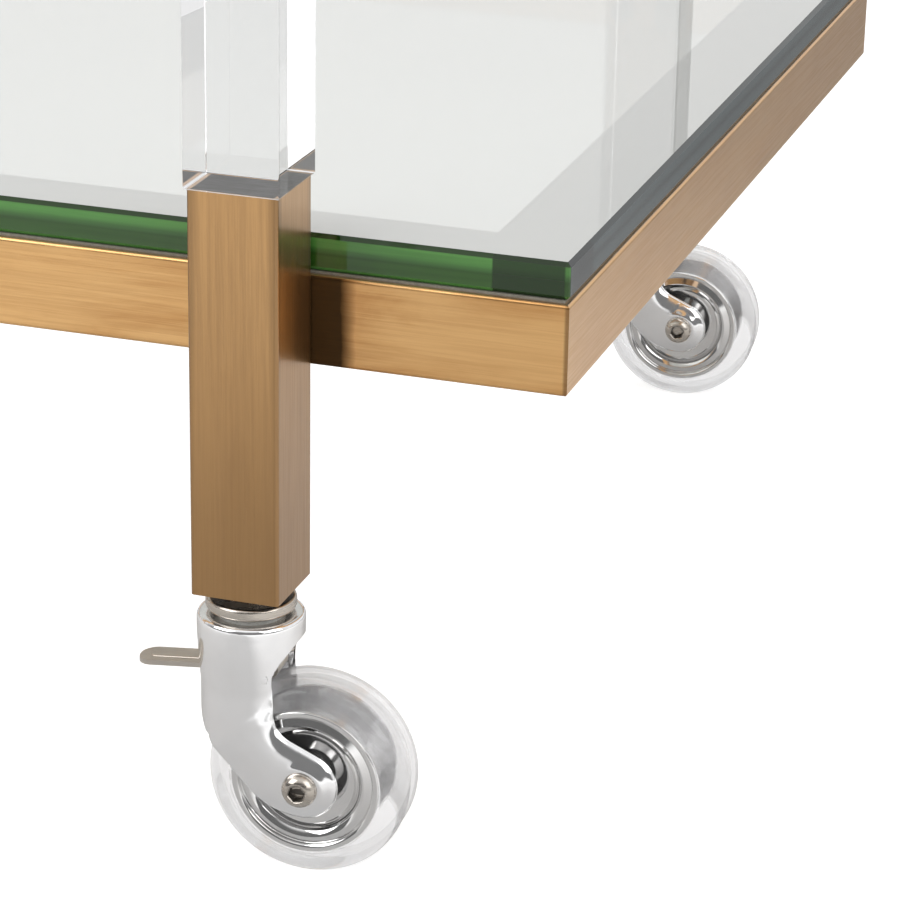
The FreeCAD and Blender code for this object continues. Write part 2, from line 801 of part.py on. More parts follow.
def fork(label, x, y, angle, braked):
    """The cast swan neck fork: collar, round neck, and two cheeks that carry the axle."""
    body = make_body(label)
    side = sketch_on(body, "XZ_Plane")
    boss_bottom = axle_drop + boss_radius
    belly_reach = trail - belly_radius * sine(belly_slope)
    belly_drop = boss_bottom - belly_radius * (1 - cosine(belly_slope))
    bend = belly_drop - (belly_reach + heel_bend) * tangent(belly_slope)
    heel_drop = bend - (heel_reach - heel_bend) * tangent(belly_slope + heel_turn / 2)
    arm_turn = 90 - arm_slope.value
    arm_reach = trail + boss_radius * sine(arm_slope)
    arm_drop = axle_drop - boss_radius * cosine(arm_slope)
    bend_drop = arm_drop - (arm_reach - bend_reach) * tangent(arm_slope)
    throat_drop = bend_drop - (bend_reach - throat_reach) * tangent(45 + arm_slope / 2)
    outline(side, [
        (-heel_reach, -shoulder_top), (-heel_reach, -heel_drop), (-heel_bend, -bend, arc(heel_turn.value)),
        (belly_reach, -belly_drop), (trail, -boss_bottom, arc(belly_slope.value)),
        (trail + boss_radius, -axle_drop, arc(90)), (arm_reach, -arm_drop, arc(arm_turn)),
        (bend_reach, -bend_drop), (throat_reach, -throat_drop, arc(-arm_turn)),
        (throat_reach, -shoulder_top)])
    pad(body, side, 2 * fork_half_width, both_ways=True)

    plan = sketch_on(body, "XY_Plane")
    reach = trail + 2 * boss_radius
    margin = 2 * fork_half_width
    rectangle(plan, -margin, -margin, reach + margin, margin)
    outline(plan, [(reach, -fork_half_width), (reach, fork_half_width), (0, fork_half_width),
                   (-fork_half_width, 0, QUARTER), (0, -fork_half_width, QUARTER)])
    pocket(body, plan, both_ways=True)
    round_edges(body, on_cheek_rim, fork_edge)

    for towards in (1, -1):
        shoulder = sketch_on(body, "YZ_Plane", 0, 0, reach)
        outline(shoulder, [
            (towards * cheek_inner, -shoulder_top), (towards * margin, -shoulder_top),
            (towards * margin, -shoulder_bottom), (towards * fork_half_width, -shoulder_bottom)])
        pocket(body, shoulder, reach)

    neck = sketch_on(body, "XZ_Plane")
    outline(neck, [
        (0, -shoulder_bottom), (fork_half_width, -shoulder_bottom),
        (fork_half_width, -collar_bottom - collar_flare), (collar_radius, -collar_bottom + collar_bevel),
        (collar_radius, -collar_top - collar_bevel),
        (collar_radius - collar_bevel, -collar_top, QUARTER), (0, -collar_top)])
    revolve(body, neck, "V_Axis")

    hollow = sketch_on(body, "XY_Plane", 0, 0, -arch_drop)
    outline(hollow, [(reach, -cheek_inner), (reach, cheek_inner), (0, cheek_inner),
                     (-cheek_inner, 0, QUARTER), (0, -cheek_inner, QUARTER)])
    pocket(body, hollow)

    arch = sketch_on(body, "YZ_Plane", 0, 0, reach)
    circle(arch, 0, -arch_drop, cheek_inner)
    pocket(body, arch, reach + arch_depth)

    head_room = sketch_on(body, "XY_Plane", 0, 0, -roof_drop)
    circle(head_room, 0, 0, kingpin_head_radius + wheel_gap / 2)
    pocket(body, head_room, roof_thickness + kingpin_head_height)

    tyre_room = sketch_on(body, "XZ_Plane")
    circle(tyre_room, trail, -axle_drop, wheel_radius + wheel_gap)
    pocket(body, tyre_room, 2 * cheek_inner, both_ways=True)

    split = sketch_on(body, "XZ_Plane")
    rectangle(split, -heel_reach, -axle_drop - boss_radius, 0, -split_drop)
    pocket(body, split, 2 * cheek_inner, both_ways=True)

    kingpin_bore = sketch_on(body, "XY_Plane", 0, 0, -collar_top)
    circle(kingpin_bore, 0, 0, kingpin_radius + running_play)
    pocket(body, kingpin_bore)

    axle_bore = sketch_on(body, "XZ_Plane")
    circle(axle_bore, trail, -axle_drop, axle_radius + thread_play)
    pocket(body, axle_bore, both_ways=True)

    if braked:
        slot = sketch_on(body, "YZ_Plane")
        half = lever_width / 2 + lever_slot_play
        rectangle(slot, -half, -lever_slot_bottom, half, -lever_slot_top)
        pocket(body, slot)
        pin_bore = sketch_on(body, "XZ_Plane")
        circle(pin_bore, lever_pivot_reach, -lever_pivot_drop, pin_radius + thread_play)
        pocket(body, pin_bore, 2 * (cheek_inner + pin_seat), both_ways=True)
    set_caster(body, x, y, angle)
    return keep(body, label)


def button_head(name, shank, towards):
    """A domed head on a cheek's outer face, with a hexagon key hole, and its shank if it has one."""
    body = make_body(name)
    section = sketch_on(body, "YZ_Plane", 0, -axle_drop, trail)
    seat = towards * fork_half_width
    top = towards * (fork_half_width + axle_head_height)
    crown = axle_head_radius * 0.6
    bulge = arc(70) * towards
    if shank is None:
        bore = axle_radius + thread_play
        wall = [(seat, bore), (seat, axle_head_radius), (top, crown, -bulge), (top, bore)]
    else:
        end = towards * (fork_half_width - shank)
        wall = [(end, 0), (end, axle_radius), (seat, axle_radius), (seat, axle_head_radius),
                (top, crown, -bulge), (top, 0)]
    outline(section, wall)
    revolve(body, section, "H_Axis")
    return body


def axle_bolt():
    """The button head bolt through both cheeks, with a hexagon key hole in its head."""
    body = button_head("axle_bolt", 2 * fork_half_width + axle_head_height, -1)
    key = sketch_on(body, "XZ_Plane", trail, -axle_drop, fork_half_width + axle_head_height)
    flat = axle_key_radius * math.sqrt(3) / 2
    slope = axle_key_radius / 2
    outline(key, [(axle_key_radius, 0), (slope, flat), (-slope, flat),
                  (-axle_key_radius, 0), (-slope, -flat), (slope, -flat)])
    pocket(body, key, axle_key_depth)
    return body


def axle_bush():
    """The steel tube between the cheeks that the wheel turns on."""
    body = make_body("axle_bush")
    section = sketch_on(body, "XZ_Plane", trail, -axle_drop)
    circle(section, 0, 0, bush_radius)
    circle(section, 0, 0, axle_radius + thread_play)
    pad(body, section, 2 * cheek_inner, both_ways=True)
    return body


def axle_set(label, x, y, angle):
    """Bolt, bush and nut of one caster."""
    parts = [axle_bolt(), axle_bush(), button_head("axle_nut", None, 1)]
    return set_caster(group(label, parts), x, y, angle)


def tyre(label, x, y, angle):
    """The clear tyre: two rounded ridges with a groove between them."""
    body = make_body(label)
    section = sketch_on(body, "YZ_Plane", 0, -axle_drop, trail)
    inner = barrel_radius + thread_play
    seat = tyre_half_width - flange_thickness
    edge = rim_radius + thread_play
    ridge = tyre_half_width - tyre_shoulder
    valley = wheel_radius - tread_groove_depth
    lobe = ridge - tread_groove_half
    slope = 2 * math.atan2(tread_groove_depth.value, lobe.value)
    ridge_bulge = math.tan(slope / 4)
    outline(section, [
        (-seat, inner), (seat, inner), (seat, edge), (tyre_half_width - fork_edge / 2, edge),
        (tyre_half_width, edge + fork_edge / 2, QUARTER), (tyre_half_width, wheel_radius - tyre_shoulder),
        (ridge, wheel_radius, QUARTER), (tread_groove_half, valley, ridge_bulge),
        (-tread_groove_half, valley), (-ridge, wheel_radius, ridge_bulge),
        (-tyre_half_width, wheel_radius - tyre_shoulder, QUARTER), (-tyre_half_width, edge + fork_edge / 2),
        (-tyre_half_width + fork_edge / 2, edge, QUARTER), (-seat, edge)])
    revolve(body, section, "H_Axis")
    set_caster(body, x, y, angle)
    return keep(body, label)


def hub_side(towards):
    """One face of the hub's section, from the bore out to the rim."""
    face = cheek_inner - hub_side_play
    flange = tyre_half_width - flange_thickness
    dish = tyre_half_width - dish_depth
    boss = face - hub_boss_depth
    lip_inner = rim_radius - lip_width
    ring = (dish_radius + lip_inner) / 2
    rim_face = tyre_half_width - rim_relief
    points = [
        (face, hub_boss_radius - hub_bevel), (boss, hub_boss_radius), (dish, dish_radius - hub_bevel),
        (dish - ring_depth, dish_radius - ring_half_width), (dish, dish_radius + ring_half_width),
        (tyre_half_width - rim_round, ring, ring_bulge.value),
        (tyre_half_width - lip_drop, lip_inner - lip_slope),
        (rim_face, lip_inner + lip_slope, lip_bulge.value), (rim_face, rim_radius - rim_round),
        (rim_face - rim_round, rim_radius, QUARTER), (flange, rim_radius), (flange, barrel_radius)]
    if towards > 0:
        return points
    mirrored = []
    for index in range(len(points) - 1, -1, -1):
        after = points[index + 1] if index + 1 < len(points) else points[index]
        bulge = after[2:] if index + 1 < len(points) else ()
        mirrored.append((-points[index][0], points[index][1]) + tuple(bulge))
    return mirrored


def hub(label, x, y, angle):
    """The chromed hub: bore, dished faces with concentric rings, and a flanged barrel."""
    body = make_body(label)
    section = sketch_on(body, "YZ_Plane", 0, -axle_drop, trail)
    face = cheek_inner - hub_side_play
    bore = bush_radius + running_play
    outline(section, [(-face, bore), (face, bore)] + hub_side(1) + hub_side(-1))
    revolve(body, section, "H_Axis")
    set_caster(body, x, y, angle)
    return keep(body, label)


def near_tip(edge):
    """True for the short upright edges at the lever's outer end."""
    box = edge.BoundBox
    return box.YLength < 0.001 and abs(box.XMin + lever_tip_reach.value) < 0.001 \
        and box.XLength < 0.001 and box.ZLength > 0.5


def brake_lever(label, x, y, angle):
    """The flat pedal strip that passes through the neck to its pivot eye."""
    body = make_body(label)
    strip = sketch_on(body, "XZ_Plane")
    half = lever_thickness / 2
    outline(strip, [
        (-lever_tip_reach, -lever_tip_drop - half), (lever_pivot_reach, -lever_pivot_drop - half),
        (lever_pivot_reach, -lever_pivot_drop + half), (-lever_tip_reach, -lever_tip_drop + half)])
    pad(body, strip, lever_width, both_ways=True)
    round_edges(body, near_tip, lever_tip_round)
    eye = sketch_on(body, "XZ_Plane")
    circle(eye, lever_pivot_reach, -lever_pivot_drop, lever_eye_radius)
    pad(body, eye, lever_width, both_ways=True)
    bore = sketch_on(body, "XZ_Plane")
    circle(bore, lever_pivot_reach, -lever_pivot_drop, pin_radius + running_play)
    pocket(body, bore, both_ways=True)
    set_caster(body, x, y, angle)
    return keep(body, label)


def brake_shoe(label, x, y, angle):
    """The shoe under the lever; its sole follows the tyre at a small distance."""
    body = make_body(label)
    side = sketch_on(body, "XZ_Plane")
    slope = (lever_tip_drop - lever_pivot_drop) / (lever_tip_reach + lever_pivot_reach)
    half = lever_thickness / 2

    def underside(reach):
        """Level of the strip's lower face at a distance along the trail."""
        return -lever_pivot_drop - half - slope * (lever_pivot_reach - reach)

    heel = -shoe_heel
    sole = wheel_radius + shoe_gap
    heel_run = trail - heel
    toe_run = trail - shoe_toe
    heel_level = root(sole * sole - heel_run * heel_run) - axle_drop
    toe_level = root(sole * sole - toe_run * toe_run) - axle_drop
    turn = math.atan2(heel_level.value + axle_drop.value, heel_run.value)
    turn -= math.atan2(toe_level.value + axle_drop.value, toe_run.value)
    outline(side, [
        (heel, heel_level), (shoe_toe, toe_level, math.tan(turn / 4)),
        (shoe_toe, underside(shoe_toe)), (heel, underside(heel))])
    pad(body, side, shoe_width, both_ways=True)
    set_caster(body, x, y, angle)
    return keep(body, label)


def lever_pin(label, x, y, angle):
    """The pin that the lever turns on, seated in both cheeks."""
    body = make_body(label)
    section = sketch_on(body, "XZ_Plane", lever_pivot_reach, -lever_pivot_drop)
    circle(section, 0, 0, pin_radius)
    pad(body, section, 2 * (cheek_inner + pin_seat), both_ways=True)
    set_caster(body, x, y, angle)
    return keep(body, label)


SWIVELS = {
    "front_right": swivel_front_right, "back_right": swivel_back_right,
    "front_left": swivel_front_left, "back_left": swivel_back_left}
BRAKED = ("front_right", "back_left")

stems = []
nuts = []
discs = []
washers = []
for corner, side, depth in CORNERS:
    x = centre_x + side * post_x
    y = depth * post_y
    angle = SWIVELS[corner]
    stems.append(stem(x, y))
    nuts.append(lock_nut(x, y))
    discs.append(seat_disc(x, y))
    washers.append(swivel_washer(x, y))
    fork("fork_" + corner, x, y, angle, corner in BRAKED)
    axle_set("axle_" + corner, x, y, angle)
    hub("hub_" + corner, x, y, angle)
    tyre("tyre_" + corner, x, y, angle)
    if corner in BRAKED:
        brake_lever("brake_lever_" + corner, x, y, angle)
        brake_shoe("brake_shoe_" + corner, x, y, angle)
        lever_pin("lever_pin_" + corner, x, y, angle)
group("caster_stems", stems)
group("lock_nuts", nuts)
group("seat_discs", discs)
group("swivel_washers", washers)


# ---------------------------------------------------------------- checks and export

doc.recompute()
for item in doc.Objects:
    if "Invalid" in item.State or "Error" in item.State:
        raise RuntimeError(item.Name + " failed: " + str(item.State))
os.makedirs("parts", exist_ok=True)
for item in nodes:
    shape = item.Shape
    if shape.isNull() or not shape.isValid():
        raise RuntimeError(item.Label + " has no valid shape")
    shape.exportStep("parts/" + item.Label + ".step")
    print(item.Label, len(shape.Solids), round(shape.Volume / 1000, 2))
print(len(nodes), "nodes")
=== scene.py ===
"""A dessert trolley: glass shelves on brass tube frames, acrylic posts and chrome casters."""
import json
import math

import bmesh
import bpy
import numpy as np
from bpy.props import FloatProperty, FloatVectorProperty, IntProperty, PointerProperty
from mathutils import Matrix, Vector
from mathutils.kdtree import KDTree


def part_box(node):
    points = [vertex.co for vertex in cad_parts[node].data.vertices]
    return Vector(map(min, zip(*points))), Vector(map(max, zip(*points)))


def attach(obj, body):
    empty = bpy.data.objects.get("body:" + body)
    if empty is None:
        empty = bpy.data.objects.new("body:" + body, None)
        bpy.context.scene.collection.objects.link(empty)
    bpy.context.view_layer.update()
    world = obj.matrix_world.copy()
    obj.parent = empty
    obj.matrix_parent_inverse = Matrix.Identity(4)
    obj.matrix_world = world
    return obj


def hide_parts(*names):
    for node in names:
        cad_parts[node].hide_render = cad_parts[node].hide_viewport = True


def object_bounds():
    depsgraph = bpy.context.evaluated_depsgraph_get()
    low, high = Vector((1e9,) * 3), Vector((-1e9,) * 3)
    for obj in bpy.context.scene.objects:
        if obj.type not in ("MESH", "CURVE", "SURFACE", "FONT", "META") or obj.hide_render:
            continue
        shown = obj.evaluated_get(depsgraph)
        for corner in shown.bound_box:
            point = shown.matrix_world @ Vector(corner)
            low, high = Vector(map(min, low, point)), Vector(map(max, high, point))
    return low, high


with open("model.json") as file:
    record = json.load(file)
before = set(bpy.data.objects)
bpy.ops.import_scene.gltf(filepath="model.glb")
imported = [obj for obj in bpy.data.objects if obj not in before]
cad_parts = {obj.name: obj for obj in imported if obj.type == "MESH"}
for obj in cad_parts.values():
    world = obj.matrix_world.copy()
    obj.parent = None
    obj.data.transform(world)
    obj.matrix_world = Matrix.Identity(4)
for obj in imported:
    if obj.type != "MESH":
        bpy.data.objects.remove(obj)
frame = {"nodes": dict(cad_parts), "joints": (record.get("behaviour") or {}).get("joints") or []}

bl_info = {
    "name": "Dessert Trolley",
    "version": (1, 0, 0),
    "blender": (4, 5, 0),
    "location": "View3D > Sidebar > Trolley",
    "description": "Dresses the dessert trolley in brass, glass, acrylic and chrome",
    "category": "Object",
}

CAD_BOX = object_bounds()
CORNERS = ("front_right", "front_left", "back_right", "back_left")
BRAKED = ("front_right", "back_left")
LEVELS = ("lower", "upper")
NODES = frame["nodes"]
JOINTS = {joint["name"]: joint for joint in frame["joints"]}
MM = 0.001

# Depths on a fork, measured down from its swivel's pivot: where each change starts and ends.
NECK_START = (14.5 * MM, 16 * MM)
NECK_TAPER = (16 * MM, 44 * MM)
NECK_END = (36 * MM, 42 * MM)
ARM_START = (36 * MM, 44 * MM)
ARM_FREE = (40 * MM, 60 * MM)
WALL_TOP = 29 * MM

# A fork's walls that are nearer to the axle than this belong to the bolt's hole.
BOLT_WALL = 9 * MM


# ---------------------------------------------------------------- properties

def colour(name, description, value):
    """A colour property."""
    return FloatVectorProperty(
        name=name, description=description, default=value, size=3, min=0, max=1, subtype="COLOR")


def length(name, description, value):
    """A length property, in metres."""
    return FloatProperty(
        name=name, description=description, default=value, unit="LENGTH", precision=4)


def factor(name, description, value, top=1.0):
    """A plain number from 0 to top."""
    return FloatProperty(name=name, description=description, default=value, min=0, max=top)


def angle(name, description, degrees):
    """An angle property, given in degrees."""
    return FloatProperty(
        name=name, description=description, default=math.radians(degrees), subtype="ANGLE")


def power(name, description, watts):
    """A lamp's power."""
    return FloatProperty(name=name, description=description, default=watts, unit="POWER")


class TrolleyMetal(bpy.types.PropertyGroup):
    """Colours and polish of the brass, chrome and steel, and of the small nylon and rubber pieces."""

    rail_gold: colour("Rail gold", "Bright tone of the brushed rails", (0.80, 0.475, 0.19))
    rail_brown: colour("Rail brown", "Tone of the clouded places on the rails", (0.60, 0.30, 0.095))
    sleeve_gold: colour("Sleeve gold", "Bright tone of the post sleeves", (0.60, 0.345, 0.14))
    sleeve_brown: colour("Sleeve brown", "Dark streaks on the post sleeves", (0.46, 0.255, 0.10))
    brass_roughness: factor("Brass roughness", "How far the brushing spreads a reflection", 0.33)
    lacquer: factor("Lacquer", "Weight of the clear coat on the brass", 0.65)
    # Painted shade on the rails just beside each post, where they mirror its shaded side.
    post_shade: colour("Post shade", "Dark bloom where a post meets a rail", (0.075, 0.045, 0.02))
    chrome: colour("Chrome", "Colour of the bright plating", (0.98, 0.98, 0.985))
    hub_chrome: colour("Hub chrome", "Colour of the hubs' plating", (0.84, 0.835, 0.83))
    chrome_roughness: factor("Chrome roughness", "Polish of the bright plating", 0.09)
    nickel: colour("Nickel", "Colour of the plated screws, discs and levers", (0.60, 0.55, 0.49))
    # Dust and painted sheen on the brass faces that look up.
    dust_and_sheen: colour("Dust and sheen", "Dust and haze on brass that looks up", (0.75, 0.73, 0.68))
    streak_depth: factor("Streak depth", "How far the brushing darkens the brass", 0.3)
    grain_height: length("Grain height", "Height of the brushing on the brass", 0.02 * MM)
    seam_start: length("Seam start", "Where the dark line at a rail's end begins", 2.2 * MM)
    seam_full: length("Seam full", "Where that line is darkest", 0.9 * MM)
    # Painted shade that darkens the lower sleeves towards their foot, where they mirror the dark rails.
    shade_top: length("Shade top", "Height where a sleeve's patina begins to deepen", 280 * MM)
    shade_foot: length("Shade foot", "Height where that patina is deepest", 130 * MM)
    steel: colour("Steel", "Colour of the brushed seat plates", (0.06, 0.058, 0.055))
    dark_steel: colour("Dark steel", "Colour of the oiled blocks and screws", (0.12, 0.12, 0.125))
    nylon: colour("Nylon", "Colour of the swivels' washers", (0.7, 0.7, 0.67))
    rubber: colour("Rubber", "Colour of the brake shoes", (0.02, 0.02, 0.02))


class TrolleyClear(bpy.types.PropertyGroup):
    """Sizes and colours of the glass, acrylic and tyres."""

    glass_tint: colour("Glass tint", "Colour that a glass face lets through", (0.86, 0.88, 0.855))
    glass_through: factor("Glass through", "Share of light that a glass face lets through", 0.42)
    # Edge colours: the glass's own green with painted bands of light and shade.
    edge_light: colour("Edge light", "Upper half of the long glass edges", (0.080, 0.25, 0.050))
    edge_deep: colour("Edge deep", "Lower half of the long glass edges", (0.028, 0.090, 0.012))
    edge_end: colour("Edge end", "Depth of the short glass edges", (0.045, 0.065, 0.068))
    # Where the painted dark reflection of a post lies along a glass edge.
    reflection_start: length("Reflection start", "From a glass edge's end to its dark block", 2.6 * MM)
    reflection_end: length("Reflection end", "From a glass edge's end to that block's far side", 29.5 * MM)
    strip: colour("Strip", "Colour of the soft strip under the glass", (0.20, 0.19, 0.16))
    chamfer: length("Chamfer", "Ground chamfer around the glass", 1.7 * MM)
    corner_round: length("Corner rounding", "Rounding of the glass at its corners", 0.9 * MM)
    post_chamfer: length("Post chamfer", "Chamfer at the ends of the acrylic", 0.3 * MM)
    post_round: length("Post rounding", "Polished rounding on the acrylic edges", 0.5 * MM)
    post_sink: length("Post sink", "How deep the wet joint pulls the acrylic onto its seat", 0.05 * MM)
    acrylic_tint: colour("Acrylic tint", "Colour that an acrylic face lets through", (0.925, 0.925, 0.93))
    tyre_tint: colour("Tyre tint", "Colour that a tyre's face lets through", (0.95, 0.95, 0.965))
    tyre_solid: factor("Tyre solid", "How far a tyre bends what is seen through it", 0.6)
    tyre_through: factor("Tyre through", "Share of light that a tyre's face lets through", 0.75)
    shade: factor("Shade", "Share of lamp light that clear pieces hold back", 0.15)


class TrolleyCaster(bpy.types.PropertyGroup):
    """Shape of the cast forks and of the pressed ribs on the brake levers."""

    voxel: length("Voxel", "Fineness of the cast surface", 0.55 * MM)
    relax: IntProperty(name="Relax", description="Rounds of smoothing on the casting", default=12, min=0)
    collar_radius: length("Collar radius", "Outside of the collar", 20.95 * MM)
    neck_radius: length("Neck radius", "Roundness of the neck", 19.6 * MM)
    cheek_inner: length("Cheek inner", "From the wheel's middle to a cheek's inner face", 14.6 * MM)
    cheek_edge: length("Cheek edge", "Thickness of a cheek at its thin edge", 0.7 * MM)
    cheek_round: length("Cheek round", "How far in from its edge a cheek is rounded", 13.0 * MM)
    pad_radius: length("Pad radius", "Flat round the axle bolt", 7.6 * MM)
    pad_blend: length("Pad blend", "Width of the slope round that flat", 3.0 * MM)
    pin_cover: length("Pin cover", "Reach of the smooth skin over the lever's pin", 3.4 * MM)
    pin_skin: length("Pin skin", "Where the skin over the lever's pin begins", 16.65 * MM)
    plug_radius: length("Plug radius", "Radius of the plug that closes the pin's hole", 2.8 * MM)
    plug_depth: length("Plug depth", "Depth of that plug", 0.8 * MM)
    socket_flats: length("Socket flats", "Across the flats of a bolt's hexagon socket", 6 * MM)
    socket_depth: length("Socket depth", "Depth of that socket", 2.6 * MM)
    socket_turn: angle("Socket turn", "How far that socket is turned", 12)
    rib_start: length("Rib start", "Where the pressed rib begins, from the lever's pivot", 27 * MM)
    rib_end: length("Rib end", "Where the pressed rib ends", 50 * MM)
    rib_half: length("Rib half width", "Half the width of the pressed rib", 2.6 * MM)
    rib_rise: length("Rib rise", "How far the rib stands up", 0.45 * MM)


class TrolleyStage(bpy.types.PropertyGroup):
    """Camera, lamps and floor."""

    eye: FloatVectorProperty(
        name="Eye", description="Place of the camera", size=3, subtype="TRANSLATION",
        unit="LENGTH", default=(0.89847, -1.37922, 0.62914))
    azimuth: angle("Azimuth", "Turn of the camera to the right of the front", 17.8806)
    elevation: angle("Elevation", "How far the camera looks down", 21.3191)
    roll: angle("Roll", "Tilt of the camera about its own axis", 1.0532)
    lens: FloatProperty(name="Lens", description="Focal length", default=134.026, unit="CAMERA")
    floor_side: length("Floor side", "Side of the square floor", 30.0)
    floor: colour("Floor", "Colour of the floor", (0.86, 0.86, 0.86))
    floor_glow: factor("Floor glow", "Share of the floor's white that needs no lamp", 0.5)
    # Painted shade on the floor as polished metal sees it, close to and far from the trolley.
    near_floor: factor("Near floor", "How pale polished metal sees the floor close to the trolley", 0.84)
    far_floor: factor("Far floor", "How pale polished metal sees the floor far away", 0.72)
    room: factor("Room", "How pale polished metal sees the room behind the camera", 0.14)
    ceiling: factor("Ceiling", "How pale polished metal sees the room overhead", 0.95)
    backdrop: factor("Backdrop", "How pale polished metal sees what is behind the trolley", 0.88)
    key_power: power("Key", "Power of the main soft lamp", 70)
    fill_power: power("Fill", "Power of the fill lamp", 30)
    rim_power: power("Rim", "Power of the lamp high up behind", 30)
    sky: factor("Sky", "Level of the even light from all round", 0.5)


# ------------------------------------------------------------- shader helpers

def node_group(name, inputs, outputs):
    """A new shader node group with named sockets. Returns its tree, input node and output node."""
    tree = bpy.data.node_groups.new(name, "ShaderNodeTree")
    for label, kind, value in inputs:
        socket = tree.interface.new_socket(label, in_out="INPUT", socket_type=kind)
        socket.default_value = value
    for label, kind in outputs:
        tree.interface.new_socket(label, in_out="OUTPUT", socket_type=kind)
    return tree, tree.nodes.new("NodeGroupInput"), tree.nodes.new("NodeGroupOutput")


def put(tree, kind, values=None, **settings):
    """A new node with its settings, and with input values given by name or number."""
    node = tree.nodes.new(kind)
    for key, value in settings.items():
        setattr(node, key, value)
    for key, value in (values or {}).items():
        if isinstance(value, bpy.types.NodeSocket):
            tree.links.new(value, node.inputs[key])
        else:
            node.inputs[key].default_value = value
    return node


def sums(tree, operation, first, second=0.0, third=0.0, clamp=False):
    """The result of one Math node."""
    node = put(tree, "ShaderNodeMath", {0: first, 1: second, 2: third}, operation=operation)
    node.use_clamp = clamp
    return node.outputs[0]


def blend(tree, share, low, high):
    """Two colours mixed by share."""
    node = put(tree, "ShaderNodeMix", {0: share, 6: low, 7: high}, data_type="RGBA")
    return node.outputs[2]


def spread(tree, value, low, high, start=0.0, end=1.0):
    """A value moved smoothly from low..high to start..end."""
    node = put(tree, "ShaderNodeMapRange", {0: value, 1: low, 2: high, 3: start, 4: end},
               interpolation_type="SMOOTHSTEP")
    return node.outputs[0]


def rgba(value):
    """A property colour as a socket value."""
    return (value[0], value[1], value[2], 1.0)


def toned(value, share):
    """A colour taken down or up to a share of itself, as a socket value."""
    return rgba([part * share for part in value])


def parts_of(tree, kind):
    """The X, Y and Z of the place in one of the Texture Coordinate node's systems."""
    place = put(tree, "ShaderNodeTexCoord")
    return put(tree, "ShaderNodeSeparateXYZ", {0: place.outputs[kind]}).outputs


def scaled_place(tree, scale):
    """The object's own place, scaled on each axis."""
    place = put(tree, "ShaderNodeTexCoord").outputs["Object"]
    return put(tree, "ShaderNodeVectorMath", {0: place, 1: scale}, operation="MULTIPLY").outputs[0]


def from_middle(tree, value, middle):
    """How far a value is from its middle."""
    return sums(tree, "ABSOLUTE", sums(tree, "SUBTRACT", value, middle))


def stretched(axis, along, across):
    """A texture's scale along one axis and across it."""
    return tuple(along if letter == axis else across for letter in "XYZ")


def middle_and_half(low, high):
    """The middle of a stretch, and half its length."""
    return (low + high) / 2, (high - low) / 2


def material(name, values):
    """A new material with one Principled shader. Returns it, its tree and its shader."""
    made = bpy.data.materials.new(name)
    made.use_nodes = True
    shader = made.node_tree.nodes["Principled BSDF"]
    for key, value in values.items():
        shader.inputs[key].default_value = value
    return made, made.node_tree, shader


def feed(tree, shader, values):
    """Link values to the shader's sockets."""
    for key, value in values.items():
        tree.links.new(value, shader.inputs[key])


def use_group(tree, name, values):
    """A node that stands for the named group in this material."""
    return put(tree, "ShaderNodeGroup", values, node_tree=bpy.data.node_groups[name])


def bump(tree, shader, height, distance):
    """Raise the shader's surface by a height."""
    node = put(tree, "ShaderNodeBump", {"Height": height, "Distance": distance, "Strength": 1.0})
    feed(tree, shader, {"Normal": node.outputs["Normal"]})


def make_grain_group():
    """Fine parallel scratches. Scale says how many there are to the metre on each axis."""
    tree, start, end = node_group(
        "brushed_grain",
        [("Scale", "NodeSocketVector", (10, 900, 900)), ("Coarse", "NodeSocketFloat", 0.3)],
        [("Streaks", "NodeSocketFloat")])
    fine = scaled_place(tree, start.outputs["Scale"])
    wide = put(tree, "ShaderNodeVectorMath", {0: fine, "Scale": start.outputs["Coarse"]},
               operation="SCALE")
    small = put(tree, "ShaderNodeTexNoise", {"Vector": fine, "Scale": 1, "Detail": 3})
    large = put(tree, "ShaderNodeTexNoise", {"Vector": wide.outputs[0], "Scale": 1, "Detail": 2})
    both = sums(tree, "ADD", small.outputs["Fac"], large.outputs["Fac"])
    tree.links.new(spread(tree, both, low=0.72, high=1.28), end.inputs["Streaks"])


def make_cloud_group():
    """Soft cloudy patches with feathered rims."""
    tree, start, end = node_group(
        "cloudy_patches",
        [("Scale", "NodeSocketVector", (25, 25, 25)), ("Low", "NodeSocketFloat", 0.42),
         ("High", "NodeSocketFloat", 0.62)],
        [("Mask", "NodeSocketFloat")])
    noise = put(tree, "ShaderNodeTexNoise",
                {"Vector": scaled_place(tree, start.outputs["Scale"]), "Scale": 1, "Detail": 5,
                 "Roughness": 0.55, "Distortion": 0.6})
    limits = put(tree, "ShaderNodeMapRange",
                 {0: noise.outputs["Fac"], 1: start.outputs["Low"], 2: start.outputs["High"]},
                 interpolation_type="SMOOTHSTEP")
    tree.links.new(limits.outputs[0], end.inputs["Mask"])


def make_upward_group():
    """Mask of the surfaces that face up, where dust settles and painted sheen pales the tone."""
    tree, start, end = node_group(
        "upward_dust_and_sheen", [("Amount", "NodeSocketFloat", 1.0)], [("Mask", "NodeSocketFloat")])
    normal = put(tree, "ShaderNodeNewGeometry")
    parts = put(tree, "ShaderNodeSeparateXYZ", {0: normal.outputs["Normal"]})
    up = spread(tree, parts.outputs["Z"], low=0.8, high=0.97)
    tree.links.new(sums(tree, "MULTIPLY", up, start.outputs["Amount"]), end.inputs["Mask"])


